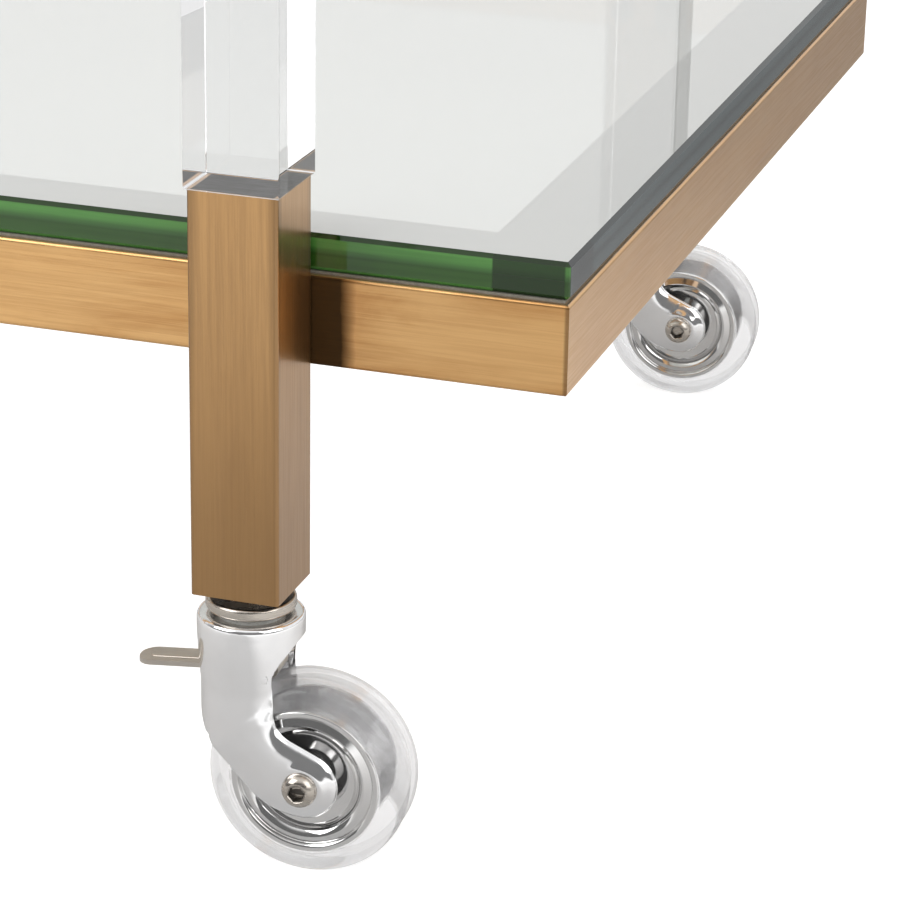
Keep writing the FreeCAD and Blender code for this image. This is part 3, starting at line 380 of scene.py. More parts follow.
def make_joint_group():
    """Mask of the rail faces just outside each post, for painted shade: the post's dark reflection."""
    tree, start, end = node_group(
        "joint_shade",
        [("Middle", "NodeSocketFloat", 0.0), ("Post Outside", "NodeSocketFloat", 0.45),
         ("Reach", "NodeSocketFloat", 13 * MM), ("Fade", "NodeSocketFloat", 6 * MM),
         ("Wobble", "NodeSocketFloat", 3 * MM)],
        [("Mask", "NodeSocketFloat")])
    place = put(tree, "ShaderNodeTexCoord").outputs["Object"]
    along = put(tree, "ShaderNodeSeparateXYZ", {0: place}).outputs["X"]
    wobble = put(tree, "ShaderNodeTexNoise", {"Vector": place, "Scale": 90, "Detail": 3})
    beyond = sums(tree, "SUBTRACT", from_middle(tree, along, start.outputs["Middle"]),
                  start.outputs["Post Outside"])
    uneven = sums(tree, "MULTIPLY_ADD", wobble.outputs["Fac"], start.outputs["Wobble"], beyond)
    past_reach = sums(tree, "SUBTRACT", uneven, start.outputs["Reach"])
    fading = sums(tree, "DIVIDE", past_reach, start.outputs["Fade"], clamp=True)
    near = sums(tree, "SUBTRACT", 1.0, fading)
    outside = spread(tree, beyond, low=-2 * MM, high=0.0)
    facing = put(tree, "ShaderNodeSeparateXYZ", {0: put(tree, "ShaderNodeNewGeometry").outputs["Normal"]})
    front = spread(tree, sums(tree, "ABSOLUTE", facing.outputs["Y"]), low=0.3, high=0.8)
    beside = sums(tree, "MULTIPLY", near, outside)
    tree.links.new(sums(tree, "MULTIPLY", beside, front), end.inputs["Mask"])


def make_corner_group():
    """Mask of the strips beside a square tube's corners, where painted shade darkens the brass."""
    tree, start, end = node_group(
        "corner_shade", [("Start", "NodeSocketFloat", 0.36)], [("Mask", "NodeSocketFloat")])
    parts = parts_of(tree, "Generated")
    sides = [from_middle(tree, parts[axis], 0.5) for axis in "XY"]
    closest = sums(tree, "MINIMUM", *sides)
    limits = put(tree, "ShaderNodeMapRange", {0: closest, 1: start.outputs["Start"], 2: 0.5})
    tree.links.new(limits.outputs[0], end.inputs["Mask"])


def brass(name, axis, metal, gold, brown, cloud, dust_and_sheen=0.0, joint=None, corner=0.0, seam=None):
    """Lacquered brushed brass with its grain along one axis.

    Joint is the middle of the posts and how far out they reach; beside them the rails get painted
    shade. Corner weighs the painted shade along a sleeve's corners and towards its foot. Dust and
    sheen weighs the dust and painted sheen on faces that look up. Seam is the middle of the rails
    and half their length.
    """
    made, tree, shader = material(name, {"Metallic": 1.0, "Coat Roughness": 0.2, "Coat IOR": 1.5})
    grain = use_group(tree, "brushed_grain", {"Scale": stretched(axis, 45, 2600)})
    patches = use_group(tree, "cloudy_patches",
                        {"Scale": stretched(axis, 12, 38), "Low": 0.36, "High": 0.68})
    streaks = grain.outputs["Streaks"]
    streak_shade = sums(tree, "MULTIPLY", streaks, metal.streak_depth)
    shade = sums(tree, "MULTIPLY_ADD", patches.outputs["Mask"], cloud, streak_shade)
    tone = blend(tree, sums(tree, "SUBTRACT", 1.0, shade, clamp=True), rgba(brown), rgba(gold))
    # Painted shade along the sleeves' corners and towards their foot.
    if corner:
        deeper = use_group(tree, "corner_shade", {})
        low = spread(tree, parts_of(tree, "Object")["Z"], metal.shade_top, metal.shade_foot, 0.0, 0.55)
        share = sums(tree, "MAXIMUM", sums(tree, "MULTIPLY", deeper.outputs["Mask"], corner), low)
        tone = blend(tree, share, tone, toned(brown, 0.55))
    # Dust and painted sheen on the faces that look up.
    if dust_and_sheen:
        dusted = use_group(tree, "upward_dust_and_sheen", {"Amount": dust_and_sheen})
        tone = blend(tree, dusted.outputs["Mask"], tone, rgba(metal.dust_and_sheen))
    lacquer = sums(tree, "MULTIPLY_ADD", streaks, 0.1, metal.lacquer - 0.1)
    rough = sums(tree, "MULTIPLY_ADD", streaks, 0.1, metal.brass_roughness - 0.05)
    # Painted shade on the rail faces beside each post.
    if joint:
        group = use_group(tree, "joint_shade", {"Middle": joint[0], "Post Outside": joint[1]})
        post_shaded = group.outputs["Mask"]
        tone = blend(tree, post_shaded, tone, rgba(metal.post_shade))
        lacquer = sums(tree, "MULTIPLY", lacquer, sums(tree, "SUBTRACT", 1.0, post_shaded))
        rough = sums(tree, "MULTIPLY_ADD", post_shaded, 0.15, rough)
    if seam:
        out = from_middle(tree, parts_of(tree, "Object")["X"], seam[0])
        ending = spread(tree, out, seam[1] - metal.seam_start, seam[1] - metal.seam_full, 0.0, 0.75)
        tone = blend(tree, ending, tone, toned(brown, 0.35))
    feed(tree, shader, {"Base Color": tone, "Coat Weight": lacquer, "Roughness": rough})
    bump(tree, shader, streaks, metal.grain_height)
    return made


def plated(name, tone, roughness, wave, metallic):
    """Bright plating over a surface that is not quite even, with faint polishing marks."""
    made, tree, shader = material(name, {"Metallic": metallic})
    patches = use_group(tree, "cloudy_patches", {"Scale": (160, 160, 160), "Low": 0.4, "High": 0.7})
    ripple = use_group(tree, "cloudy_patches", {"Scale": (45, 45, 45), "Low": 0.2, "High": 0.8})
    rough = sums(tree, "MULTIPLY_ADD", patches.outputs["Mask"], 0.025, roughness)
    worn = blend(tree, patches.outputs["Mask"], rgba(tone), toned(tone, 0.97))
    feed(tree, shader, {"Base Color": worn, "Roughness": rough})
    bump(tree, shader, ripple.outputs["Mask"], wave)
    return made


def satin(name, tone, scale, roughness, depth=0.78):
    """Plated or plain metal with fine brushing."""
    made, tree, shader = material(name, {"Metallic": 1.0})
    grain = use_group(tree, "brushed_grain", {"Scale": scale})
    streaks = grain.outputs["Streaks"]
    rough = sums(tree, "MULTIPLY_ADD", streaks, 0.12, roughness)
    streaked = blend(tree, streaks, toned(tone, depth), rgba(tone))
    feed(tree, shader, {"Base Color": streaked, "Roughness": rough})
    bump(tree, shader, streaks, 0.01 * MM)
    return made


def dull(name, tone, roughness, grit):
    """Rubber or nylon with a fine moulded grit."""
    made, tree, shader = material(name, {"Specular IOR Level": 0.4})
    patches = use_group(tree, "cloudy_patches", {"Scale": (900, 900, 900), "Low": 0.3, "High": 0.7})
    pale = [min(1.0, part * 1.25 + 0.01) for part in tone]
    rough = sums(tree, "MULTIPLY_ADD", patches.outputs["Mask"], 0.15, roughness)
    gritty = blend(tree, patches.outputs["Mask"], rgba(tone), rgba(pale))
    feed(tree, shader, {"Base Color": gritty, "Roughness": rough})
    bump(tree, shader, patches.outputs["Mask"], grit)
    return made


def clear(name, tint, ior, roughness, shade, marks=0.02, solid=1.0, coat=0.0, through=1.0):
    """Clear glass or plastic that lets most lamp light through, with or without handling marks."""
    made, tree, shader = material(name, {
        "Base Color": rgba(tint), "IOR": ior, "Transmission Weight": through,
        "Coat Weight": coat, "Coat Roughness": 0.0, "Coat IOR": 1.5})
    patches = use_group(tree, "cloudy_patches", {"Scale": (30, 30, 30), "Low": 0.45, "High": 0.75})
    rough = sums(tree, "MULTIPLY_ADD", patches.outputs["Mask"], marks, roughness)
    rays = put(tree, "ShaderNodeLightPath").outputs
    lamp = sums(tree, "MAXIMUM", rays["Is Shadow Ray"], rays["Is Diffuse Ray"])
    body = sums(tree, "MULTIPLY_ADD", lamp, solid * (shade - 1.0), solid)
    feed(tree, shader, {"Roughness": rough, "Alpha": body})
    return made


def glass_edge(name, looks, light, deep, low, high, axis):
    """Polished green glass edge with painted light: a lit upper half, a deep lower half, and a painted
    dark reflection of a post near each end.
    """
    made, tree, shader = material(name, {"Roughness": 0.04, "IOR": 1.52})
    parts = parts_of(tree, "Object")
    height = put(tree, "ShaderNodeMapRange", {0: parts["Z"], 1: low.z, 2: high.z}).outputs[0]
    ramp = put(tree, "ShaderNodeValToRGB", {0: height})
    # Painted bands of light and shade across the edge's height, over the glass's green.
    stops = [
        (0.00, light, 1.1), (0.09, light, 1.25), (0.13, deep, 1.0), (0.40, deep, 1.0),
        (0.47, deep, 0.8), (0.53, light, 0.45), (0.60, light, 0.6), (0.70, light, 1.0),
        (0.84, light, 1.1), (0.885, light, 1.0), (0.90, deep, 0.5), (1.00, deep, 0.4)]
    elements = ramp.color_ramp.elements
    for at, tone, share in stops[1:-1]:
        elements.new(at).color = toned(tone, share)
    for element, (at, tone, share) in ((elements[0], stops[0]), (elements[len(elements) - 1], stops[-1])):
        element.position, element.color = at, toned(tone, share)
    patches = use_group(tree, "cloudy_patches",
                        {"Scale": stretched(axis, 9, 300), "Low": 0.35, "High": 0.7})
    along = "XYZ".index(axis)
    middle, half = middle_and_half(low[along], high[along])
    out = from_middle(tree, parts[axis], middle)
    # Painted dark reflection of a post near each end of the edge.
    begin = spread(tree, out, half - looks.reflection_end - MM, half - looks.reflection_end)
    finish = spread(tree, out, half - looks.reflection_start, half - looks.reflection_start + MM, 1.0, 0.35)
    post_reflection = sums(tree, "MULTIPLY", sums(tree, "MULTIPLY", begin, finish), 0.9)
    deeper = sums(tree, "MAXIMUM", post_reflection, sums(tree, "MULTIPLY", patches.outputs["Mask"], 0.25))
    feed(tree, shader, {"Base Color": blend(tree, deeper, ramp.outputs["Color"], toned(deep, 0.25))})
    return made


def paint(node_name, finish):
    """Give a CAD node its finish."""
    node = NODES[node_name]
    node.data.materials.clear()
    node.data.materials.append(finish)


# ------------------------------------------------------------- mesh helpers

def new_object(name, data):
    """A new object in the scene."""
    item = bpy.data.objects.new(name, data)
    bpy.context.scene.collection.objects.link(item)
    return item


def ring_mesh(name, rings, materials):
    """A closed solid from stacked rings of points, each ring ordered counter-clockwise from above."""
    mesh = bpy.data.meshes.new(name)
    build = bmesh.new()
    made = [[build.verts.new(point) for point in ring] for ring in rings]
    count = len(made[0])
    for low, high in zip(made, made[1:]):
        for index in range(count):
            after = (index + 1) % count
            build.faces.new((low[index], low[after], high[after], high[index]))
    build.faces.new(list(reversed(made[0])))
    build.faces.new(made[-1])
    build.normal_update()
    build.to_mesh(mesh)
    build.free()
    for finish in materials:
        mesh.materials.append(finish)
    return new_object(name, mesh)


def rounded_ring(low, high, inset, radius, steps, z):
    """Points of a rectangle with rounded corners, drawn in by inset, at one height."""
    points = []
    radius = max(radius - inset, radius * 0.3)
    x0, y0, x1, y1 = low.x + inset, low.y + inset, high.x - inset, high.y - inset
    centres = ((x1 - radius, y1 - radius, 0), (x0 + radius, y1 - radius, 90),
               (x0 + radius, y0 + radius, 180), (x1 - radius, y0 + radius, 270))
    for cx, cy, start in centres:
        for step in range(steps + 1):
            turn = math.radians(start + 90 * step / steps)
            points.append((cx + radius * math.cos(turn), cy + radius * math.sin(turn), z))
    return points


def chamfered_block(name, low, high, chamfer, radius, steps, materials):
    """A block with rounded upright edges and a chamfer round its top and bottom."""
    levels = ((chamfer, low.z), (0, low.z + chamfer), (0, high.z - chamfer), (chamfer, high.z))
    rings = [rounded_ring(low, high, inset, radius, steps, z) for inset, z in levels]
    return ring_mesh(name, rings, materials)


def smooth_flat(item, limit_deg):
    """Smooth shading, but sharp where faces meet at more than the limit."""
    mesh = item.data
    mesh.polygons.foreach_set("use_smooth", [True] * len(mesh.polygons))
    mesh.set_sharp_from_angle(angle=math.radians(limit_deg))
    weighted = item.modifiers.new("flat faces stay flat", "WEIGHTED_NORMAL")
    weighted.keep_sharp = True


# ------------------------------------------------------------ caster helpers

def caster_frame(corner):
    """From a caster's own frame to the trolley's: X along its trail, Y along its axle, Z up."""
    across = Vector(JOINTS[f"{corner}_roll"]["axis"])
    up = Vector((0, 0, 1))
    turned = Matrix((across.cross(up), across, up)).transposed().to_4x4()
    return Matrix.Translation(Vector(JOINTS[f"{corner}_swivel"]["pos_m"])) @ turned


def pivot_of(joint, to_trolley):
    """The pivot of a joint in a caster's own frame."""
    return to_trolley.inverted() @ Vector(JOINTS[joint]["pos_m"])


def applied(item):
    """The item's mesh with its modifiers worked in."""
    bpy.context.view_layer.update()
    graph = bpy.context.evaluated_depsgraph_get()
    return bpy.data.meshes.new_from_object(item.evaluated_get(graph))


def points_of(mesh):
    """A mesh's points as an array."""
    spots = np.empty(len(mesh.vertices) * 3, np.float32)
    mesh.vertices.foreach_get("co", spots)
    return spots.reshape(-1, 3).astype(float)


def move_points(mesh, spots):
    """Move a mesh's points to those of an array."""
    mesh.vertices.foreach_set("co", spots.astype(np.float32).ravel())


def smooth_step(values, low, high):
    """0 below low and 1 above high, smooth between."""
    share = np.clip((values - low) / (high - low), 0, 1)
    return share * share * (3 - 2 * share)


def seen_from_side(spots, point):
    """How far each spot is from a point, seen from the side."""
    return np.linalg.norm(spots[:, [0, 2]] - np.array((point.x, point.z)), axis=1)


def away_from_walls(mesh, spots, axle, sizes):
    """How far in from the arms' outer edge each spot is, seen from the side."""
    facing = np.array([normal.vector.y for normal in mesh.vertex_normals])
    wide = np.abs(spots[:, 1])
    wall = (np.abs(facing) < 0.5) & (spots[:, 2] < -WALL_TOP)
    wall &= (wide > sizes.cheek_inner + MM) & (wide < sizes.neck_radius - MM)
    wall &= seen_from_side(spots, axle) > BOLT_WALL
    tree = KDTree(int(wall.sum()))
    for index, spot in enumerate(spots[wall]):
        tree.insert((spot[0], 0, spot[2]), index)
    tree.balance()
    return np.array([tree.find((spot[0], 0, spot[2]))[2] for spot in spots])


def cover_pin(mesh, pivot, sizes):
    """Close the outer ends of the blind hole that holds the lever's pin."""
    build = bmesh.new()
    build.from_mesh(mesh)
    for side in (-1, 1):
        middle = Vector((pivot.x, side * (sizes.pin_skin + sizes.plug_depth / 2), pivot.z))
        place = Matrix.Translation(middle) @ Matrix.Rotation(math.pi / 2, 4, "X")
        bmesh.ops.create_cone(build, cap_ends=True, segments=24, radius1=sizes.plug_radius,
                              radius2=sizes.plug_radius, depth=sizes.plug_depth, matrix=place)
    build.to_mesh(mesh)
    build.free()


def round_arms(mesh, axle, sizes):
    """Round the arms' outer faces toward their edges, but for a flat round the bolt."""
    spots = points_of(mesh)
    depth = -spots[:, 2]
    from_rim = away_from_walls(mesh, spots, axle, sizes)
    swell = np.sqrt(1 - (1 - np.clip(from_rim / sizes.cheek_round, 0, 1)) ** 2)
    thin = sizes.cheek_inner + sizes.cheek_edge
    reach = thin + (sizes.neck_radius - thin) * swell
    drum = np.sqrt(np.maximum(sizes.neck_radius ** 2 - spots[:, 0] ** 2, thin ** 2))
    reach = np.minimum(reach, drum + (sizes.neck_radius - drum) * smooth_step(depth, *ARM_FREE))
    past_pad = smooth_step(
        seen_from_side(spots, axle), sizes.pad_radius, sizes.pad_radius + sizes.pad_blend)
    reach = sizes.neck_radius * (1 - past_pad) + reach * past_pad
    wide = np.abs(spots[:, 1])
    drawn_in = wide + (np.minimum(wide, reach) - wide) * smooth_step(depth, *ARM_START)
    outer = wide > sizes.cheek_inner + 0.3 * MM
    spots[:, 1] = np.sign(spots[:, 1]) * np.where(outer, drawn_in, wide)
    move_points(mesh, spots)


def smooth_pin_skin(spots, pivot, sizes):
    """Lay the skin over the lever's pin back on the neck's drum."""
    wide = np.abs(spots[:, 1])
    over = (seen_from_side(spots, pivot) < sizes.pin_cover) & (wide > sizes.pin_skin + 0.15 * MM)
    skin = np.sqrt(sizes.neck_radius ** 2 - spots[:, 0] ** 2, where=over, out=wide.copy())
    spots[:, 1] = np.where(over, np.sign(spots[:, 1]) * skin, spots[:, 1])


def round_neck(spots, sizes):
    """Turn the neck's outside to a drum that narrows from the collar down."""
    turned = np.hypot(spots[:, 0], spots[:, 1])
    depth = -spots[:, 2]
    narrowing = smooth_step(depth, *NECK_TAPER)
    taper = sizes.collar_radius + (sizes.neck_radius - sizes.collar_radius) * narrowing
    neck = (1 - smooth_step(depth, *NECK_END)) * smooth_step(depth, *NECK_START)
    outside = smooth_step(turned, sizes.neck_radius - 1.6 * MM, sizes.neck_radius - 0.9 * MM)
    grown = 1 + neck * outside * (taper / np.maximum(turned, MM) - 1)
    spots[:, :2] *= grown[:, None]


def cast_fork(corner, sizes, finish):
    """The fork as a smooth casting whose neck and arms are round."""
    to_trolley = caster_frame(corner)
    axle = pivot_of(f"{corner}_roll", to_trolley)
    mesh = NODES[f"fork_{corner}"].data.copy()
    mesh.transform(to_trolley.inverted())
    item = new_object(f"cast_fork_{corner}", mesh)
    if corner in BRAKED:
        pin = pivot_of(f"{corner}_brake", to_trolley)
        cover_pin(mesh, pin, sizes)
    remesh = item.modifiers.new("casting", "REMESH")
    remesh.mode = "VOXEL"
    remesh.voxel_size = sizes.voxel
    item.data = applied(item)
    item.modifiers.clear()
    round_arms(item.data, axle, sizes)
    relax = item.modifiers.new("relax", "SMOOTH")
    relax.factor = 0.5
    relax.iterations = sizes.relax
    item.data = applied(item)
    item.modifiers.clear()
    spots = points_of(item.data)
    if corner in BRAKED:
        smooth_pin_skin(spots, pin, sizes)
    round_neck(spots, sizes)
    move_points(item.data, spots)
    item.data.polygons.foreach_set("use_smooth", [True] * len(item.data.polygons))
    item.data.materials.clear()
    item.data.materials.append(finish)
    item.data.transform(to_trolley)
    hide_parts(f"fork_{corner}")
    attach(item, f"swivel_{corner}")


def socket_bolt(corner, sizes, finish, dark):
    """The axle bolt with a hexagon socket in its head."""
    to_trolley = caster_frame(corner)
    axle = pivot_of(f"{corner}_roll", to_trolley)
    mesh = NODES[f"axle_{corner}"].data.copy()
    mesh.transform(to_trolley.inverted())
    mesh.materials.clear()
    mesh.materials.append(finish)
    mesh.materials.append(dark)
    bolt = new_object(f"socket_bolt_{corner}", mesh)
    head = -max(abs(vert.co.y) for vert in mesh.vertices)
    radius = sizes.socket_flats / 2 / math.cos(math.pi / 6)
    turns = [sizes.socket_turn + math.pi / 3 * step for step in range(6)]
    rings = [[(axle.x + radius * math.cos(turn), depth, axle.z + radius * math.sin(turn))
              for turn in turns] for depth in (head + sizes.socket_depth, head - 2 * MM)]
    cutter = ring_mesh("socket_cutter", rings, [finish, dark])
    # The socket's walls take the painted shade.
    for face in cutter.data.polygons:
        face.material_index = 1
    cut = bolt.modifiers.new("socket", "BOOLEAN")
    cut.object = cutter
    cut.operation = "DIFFERENCE"
    cut.solver = "EXACT"
    bolt.data = applied(bolt)
    bolt.modifiers.clear()
    bpy.data.objects.remove(cutter)
    smooth_flat(bolt, 35)
    bolt.data.transform(to_trolley)
    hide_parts(f"axle_{corner}")
    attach(bolt, f"swivel_{corner}")


def rib_ring(sizes, inset, arc_steps=12):
    """Outline of the rib, drawn in by inset: how far out along the lever, and how far to its side."""
    half = sizes.rib_half - inset
    ring = []
    for centre, start in ((sizes.rib_end - sizes.rib_half, -90), (sizes.rib_start + sizes.rib_half, 90)):
        for step in range(arc_steps + 1):
            turn = math.radians(start + 180 * step / arc_steps)
            ring.append((centre + half * math.cos(turn), half * math.sin(turn)))
    return ring


def lever_rib(corner, sizes, finish):
    """The pressed rib along the top of a brake lever."""
    to_trolley = caster_frame(corner)
    lever = NODES[f"brake_lever_{corner}"].data
    spots = np.array([to_trolley.inverted() @ vert.co for vert in lever.vertices])
    pivot = pivot_of(f"{corner}_brake", to_trolley)
    blade = spots[spots[:, 0] < pivot.x - sizes.rib_start]
    slope = np.polyfit(blade[:, 0], blade[:, 2], 1)[0]
    along = Vector((-1, 0, -slope)).normalized()
    across = Vector((0, 1, 0))
    up = across.cross(along)
    top = float(((blade - np.array(pivot)) @ np.array(up)).max())
    section = ((0.0, -0.05 * MM), (0.15 * MM, sizes.rib_rise * 0.6), (0.7 * MM, sizes.rib_rise),
               (1.3 * MM, sizes.rib_rise * 0.55))
    rings = [[tuple(pivot + along * out + across * aside + up * (top + rise))
              for out, aside in rib_ring(sizes, inset)] for inset, rise in section]
    rib = ring_mesh(f"lever_rib_{corner}", rings, [finish])
    smooth_flat(rib, 60)
    build = bmesh.new()
    build.from_mesh(rib.data)
    bmesh.ops.recalc_face_normals(build, faces=build.faces)
    build.to_mesh(rib.data)
    build.free()
    rib.data.transform(to_trolley)
    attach(rib, f"lever_{corner}")


# ---------------------------------------------------------------- operators

class TROLLEY_OT_rails(bpy.types.Operator):
    """Finish both frames in brushed brass, and their screws and corner blocks in dark steel."""

    bl_idname = "trolley.rails"
    bl_label = "Rails"

    def execute(self, context):
        metal = context.scene.trolley_metal
        near_post, far_post = (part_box(f"lower_sleeve_front_{side}") for side in ("right", "left"))
        joint = middle_and_half(far_post[0].x, near_post[1].x)
        low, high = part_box("lower_rail_front")
        seam = middle_and_half(low.x, high.x)
        # The long rails get painted shade beside each post; all rails get dust and painted sheen on top.
        looks = {
            "X": brass("rail_brass_long", "X", metal, metal.rail_gold, metal.rail_brown, 0.75,
                       dust_and_sheen=0.35, joint=joint, seam=seam),
            "Y": brass("rail_brass_end", "Y", metal, metal.rail_gold, metal.rail_brown, 0.25,
                       dust_and_sheen=0.35)}
        dark = satin("dark_steel", metal.dark_steel, scale=(400, 400, 400), roughness=0.35)
        for level in LEVELS:
            for side in ("front", "back"):
                paint(f"{level}_rail_{side}", looks["X"])
            for side in ("left", "right"):
                paint(f"{level}_rail_{side}", looks["Y"])
            paint(f"{level}_rail_screws", dark)
        for name in ("rail_blocks", "stem_sockets", "handle_screws"):
            paint(name, dark)
        return {"FINISHED"}


class TROLLEY_OT_sleeves(bpy.types.Operator):
    """Finish the sleeves, their caps and the handle brackets in brass, and the seats in steel."""

    bl_idname = "trolley.sleeves"
    bl_label = "Sleeves"

    def execute(self, context):
        metal = context.scene.trolley_metal
        # The sleeves get painted shade along their corners and towards their foot.
        upright = brass("sleeve_brass", "Z", metal, metal.sleeve_gold, metal.sleeve_brown, 0.3,
                        corner=0.9)
        for level in LEVELS:
            for corner in CORNERS:
                paint(f"{level}_sleeve_{corner}", upright)
        for name in ("top_caps", "handle_brackets"):
            paint(name, upright)
        paint("post_seats", satin("seat_steel", metal.steel, scale=(180, 900, 900), roughness=0.3,
                                  depth=0.3))
        return {"FINISHED"}


class TROLLEY_OT_shelves(bpy.types.Operator):
    """Build the glass shelves with ground chamfers and green edges, and finish their strips."""

    bl_idname = "trolley.shelves"
    bl_label = "Glass shelves"

    def execute(self, context):
        looks = context.scene.trolley_clear
        pane = clear("shelf_glass", looks.glass_tint, 1.52, 0.0, looks.shade, marks=0.0, coat=1.0,
                     through=looks.glass_through)
        for level in LEVELS:
            low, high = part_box(f"{level}_glass")
            long_edge = glass_edge(f"{level}_glass_long_edge", looks, looks.edge_light,
                                   looks.edge_deep, low, high, "X")
            short_edge = glass_edge(f"{level}_glass_short_edge", looks, looks.edge_end,
                                    looks.edge_end, low, high, "Y")
            shelf = chamfered_block(f"glass_shelf_{level}", low, high, looks.chamfer,
                                    looks.corner_round, 3, [pane, long_edge, short_edge])
            for face in shelf.data.polygons:
                if abs(face.normal.z) < 0.9:
                    face.material_index = 1 if abs(face.normal.y) > abs(face.normal.x) else 2
            smooth_flat(shelf, 30)
            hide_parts(f"{level}_glass")
            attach(shelf, "trolley")
        milky = dull("clear_strip", looks.strip, roughness=0.45, grit=0.01 * MM)
        for level in LEVELS:
            paint(f"{level}_glass_strip", milky)
        return {"FINISHED"}


class TROLLEY_OT_posts(bpy.types.Operator):
    """Build the four acrylic posts, seated wet on their steel plates, and finish the handle."""

    bl_idname = "trolley.posts"
    bl_label = "Acrylic posts"

    def execute(self, context):
        looks = context.scene.trolley_clear
        acrylic = clear("clear_acrylic", looks.acrylic_tint, 1.49, 0.0, looks.shade, marks=0.0)
        for corner in CORNERS:
            low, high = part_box(f"acrylic_post_{corner}")
            low.z -= looks.post_sink
            high.z += looks.post_sink
            post = chamfered_block(f"clear_post_{corner}", low, high, looks.post_chamfer,
                                   looks.post_round, 4, [acrylic])
            smooth_flat(post, 30)
            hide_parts(f"acrylic_post_{corner}")
            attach(post, "trolley")
        paint("handle_bar", acrylic)
        return {"FINISHED"}


class TROLLEY_OT_casters(bpy.types.Operator):
    """Cast the four chrome forks, cut the bolts' sockets, and finish hubs, tyres and discs."""

    bl_idname = "trolley.casters"
    bl_label = "Casters"

    def execute(self, context):
        metal = context.scene.trolley_metal
        looks = context.scene.trolley_clear
        sizes = context.scene.trolley_caster
        cast = plated("fork_chrome", metal.chrome, metal.chrome_roughness, wave=0.004 * MM,
                      metallic=0.93)
        turned = plated("hub_chrome", metal.hub_chrome, metal.chrome_roughness * 0.8,
                        wave=0.002 * MM, metallic=0.98)
        nickel = satin("plated_steel", metal.nickel, scale=(150, 150, 2500), roughness=0.18,
                       depth=0.9)
        # Painted shade inside the bolts' sockets: the nickel at a quarter of its tone.
        shadowed = satin("socket_shade", toned(metal.nickel, 0.25)[:3], scale=(500, 500, 500),
                         roughness=0.4)
        tyre = clear("clear_tyre", looks.tyre_tint, 1.45, 0.02, looks.shade, solid=looks.tyre_solid,
                     through=looks.tyre_through)
        for corner in CORNERS:
            cast_fork(corner, sizes, cast)
            paint(f"hub_{corner}", turned)
            socket_bolt(corner, sizes, nickel, shadowed)
            paint(f"tyre_{corner}", tyre)
        for name in ("caster_stems", "lock_nuts", "seat_discs"):
            paint(name, nickel)
        paint("swivel_washers", dull("white_nylon", metal.nylon, roughness=0.5, grit=0.01 * MM))
        return {"FINISHED"}


class TROLLEY_OT_brakes(bpy.types.Operator):
    """Finish the wheel brakes: nickel levers and pins, pressed ribs, rubber shoes."""

    bl_idname = "trolley.brakes"
    bl_label = "Brakes"

    def execute(self, context):
        metal = context.scene.trolley_metal
        nickel = satin("lever_nickel", metal.nickel, scale=(90, 700, 700), roughness=0.3, depth=0.9)
        rubber = dull("dark_rubber", metal.rubber, roughness=0.6, grit=0.03 * MM)
        for corner in BRAKED:
            paint(f"brake_lever_{corner}", nickel)
            paint(f"lever_pin_{corner}", nickel)
            paint(f"brake_shoe_{corner}", rubber)
            lever_rib(corner, context.scene.trolley_caster, nickel)
        return {"FINISHED"}


def soft_lamp(name, place, target, side, power):
    """A large square lamp that looks at the target."""
    light = bpy.data.lights.new(name, "AREA")
    light.shape = "SQUARE"
    light.size = side
    light.energy = power
    lamp = new_object(name, light)
    lamp.location = place
    lamp.rotation_euler = (Vector(target) - Vector(place)).to_track_quat("-Z", "Y").to_euler()


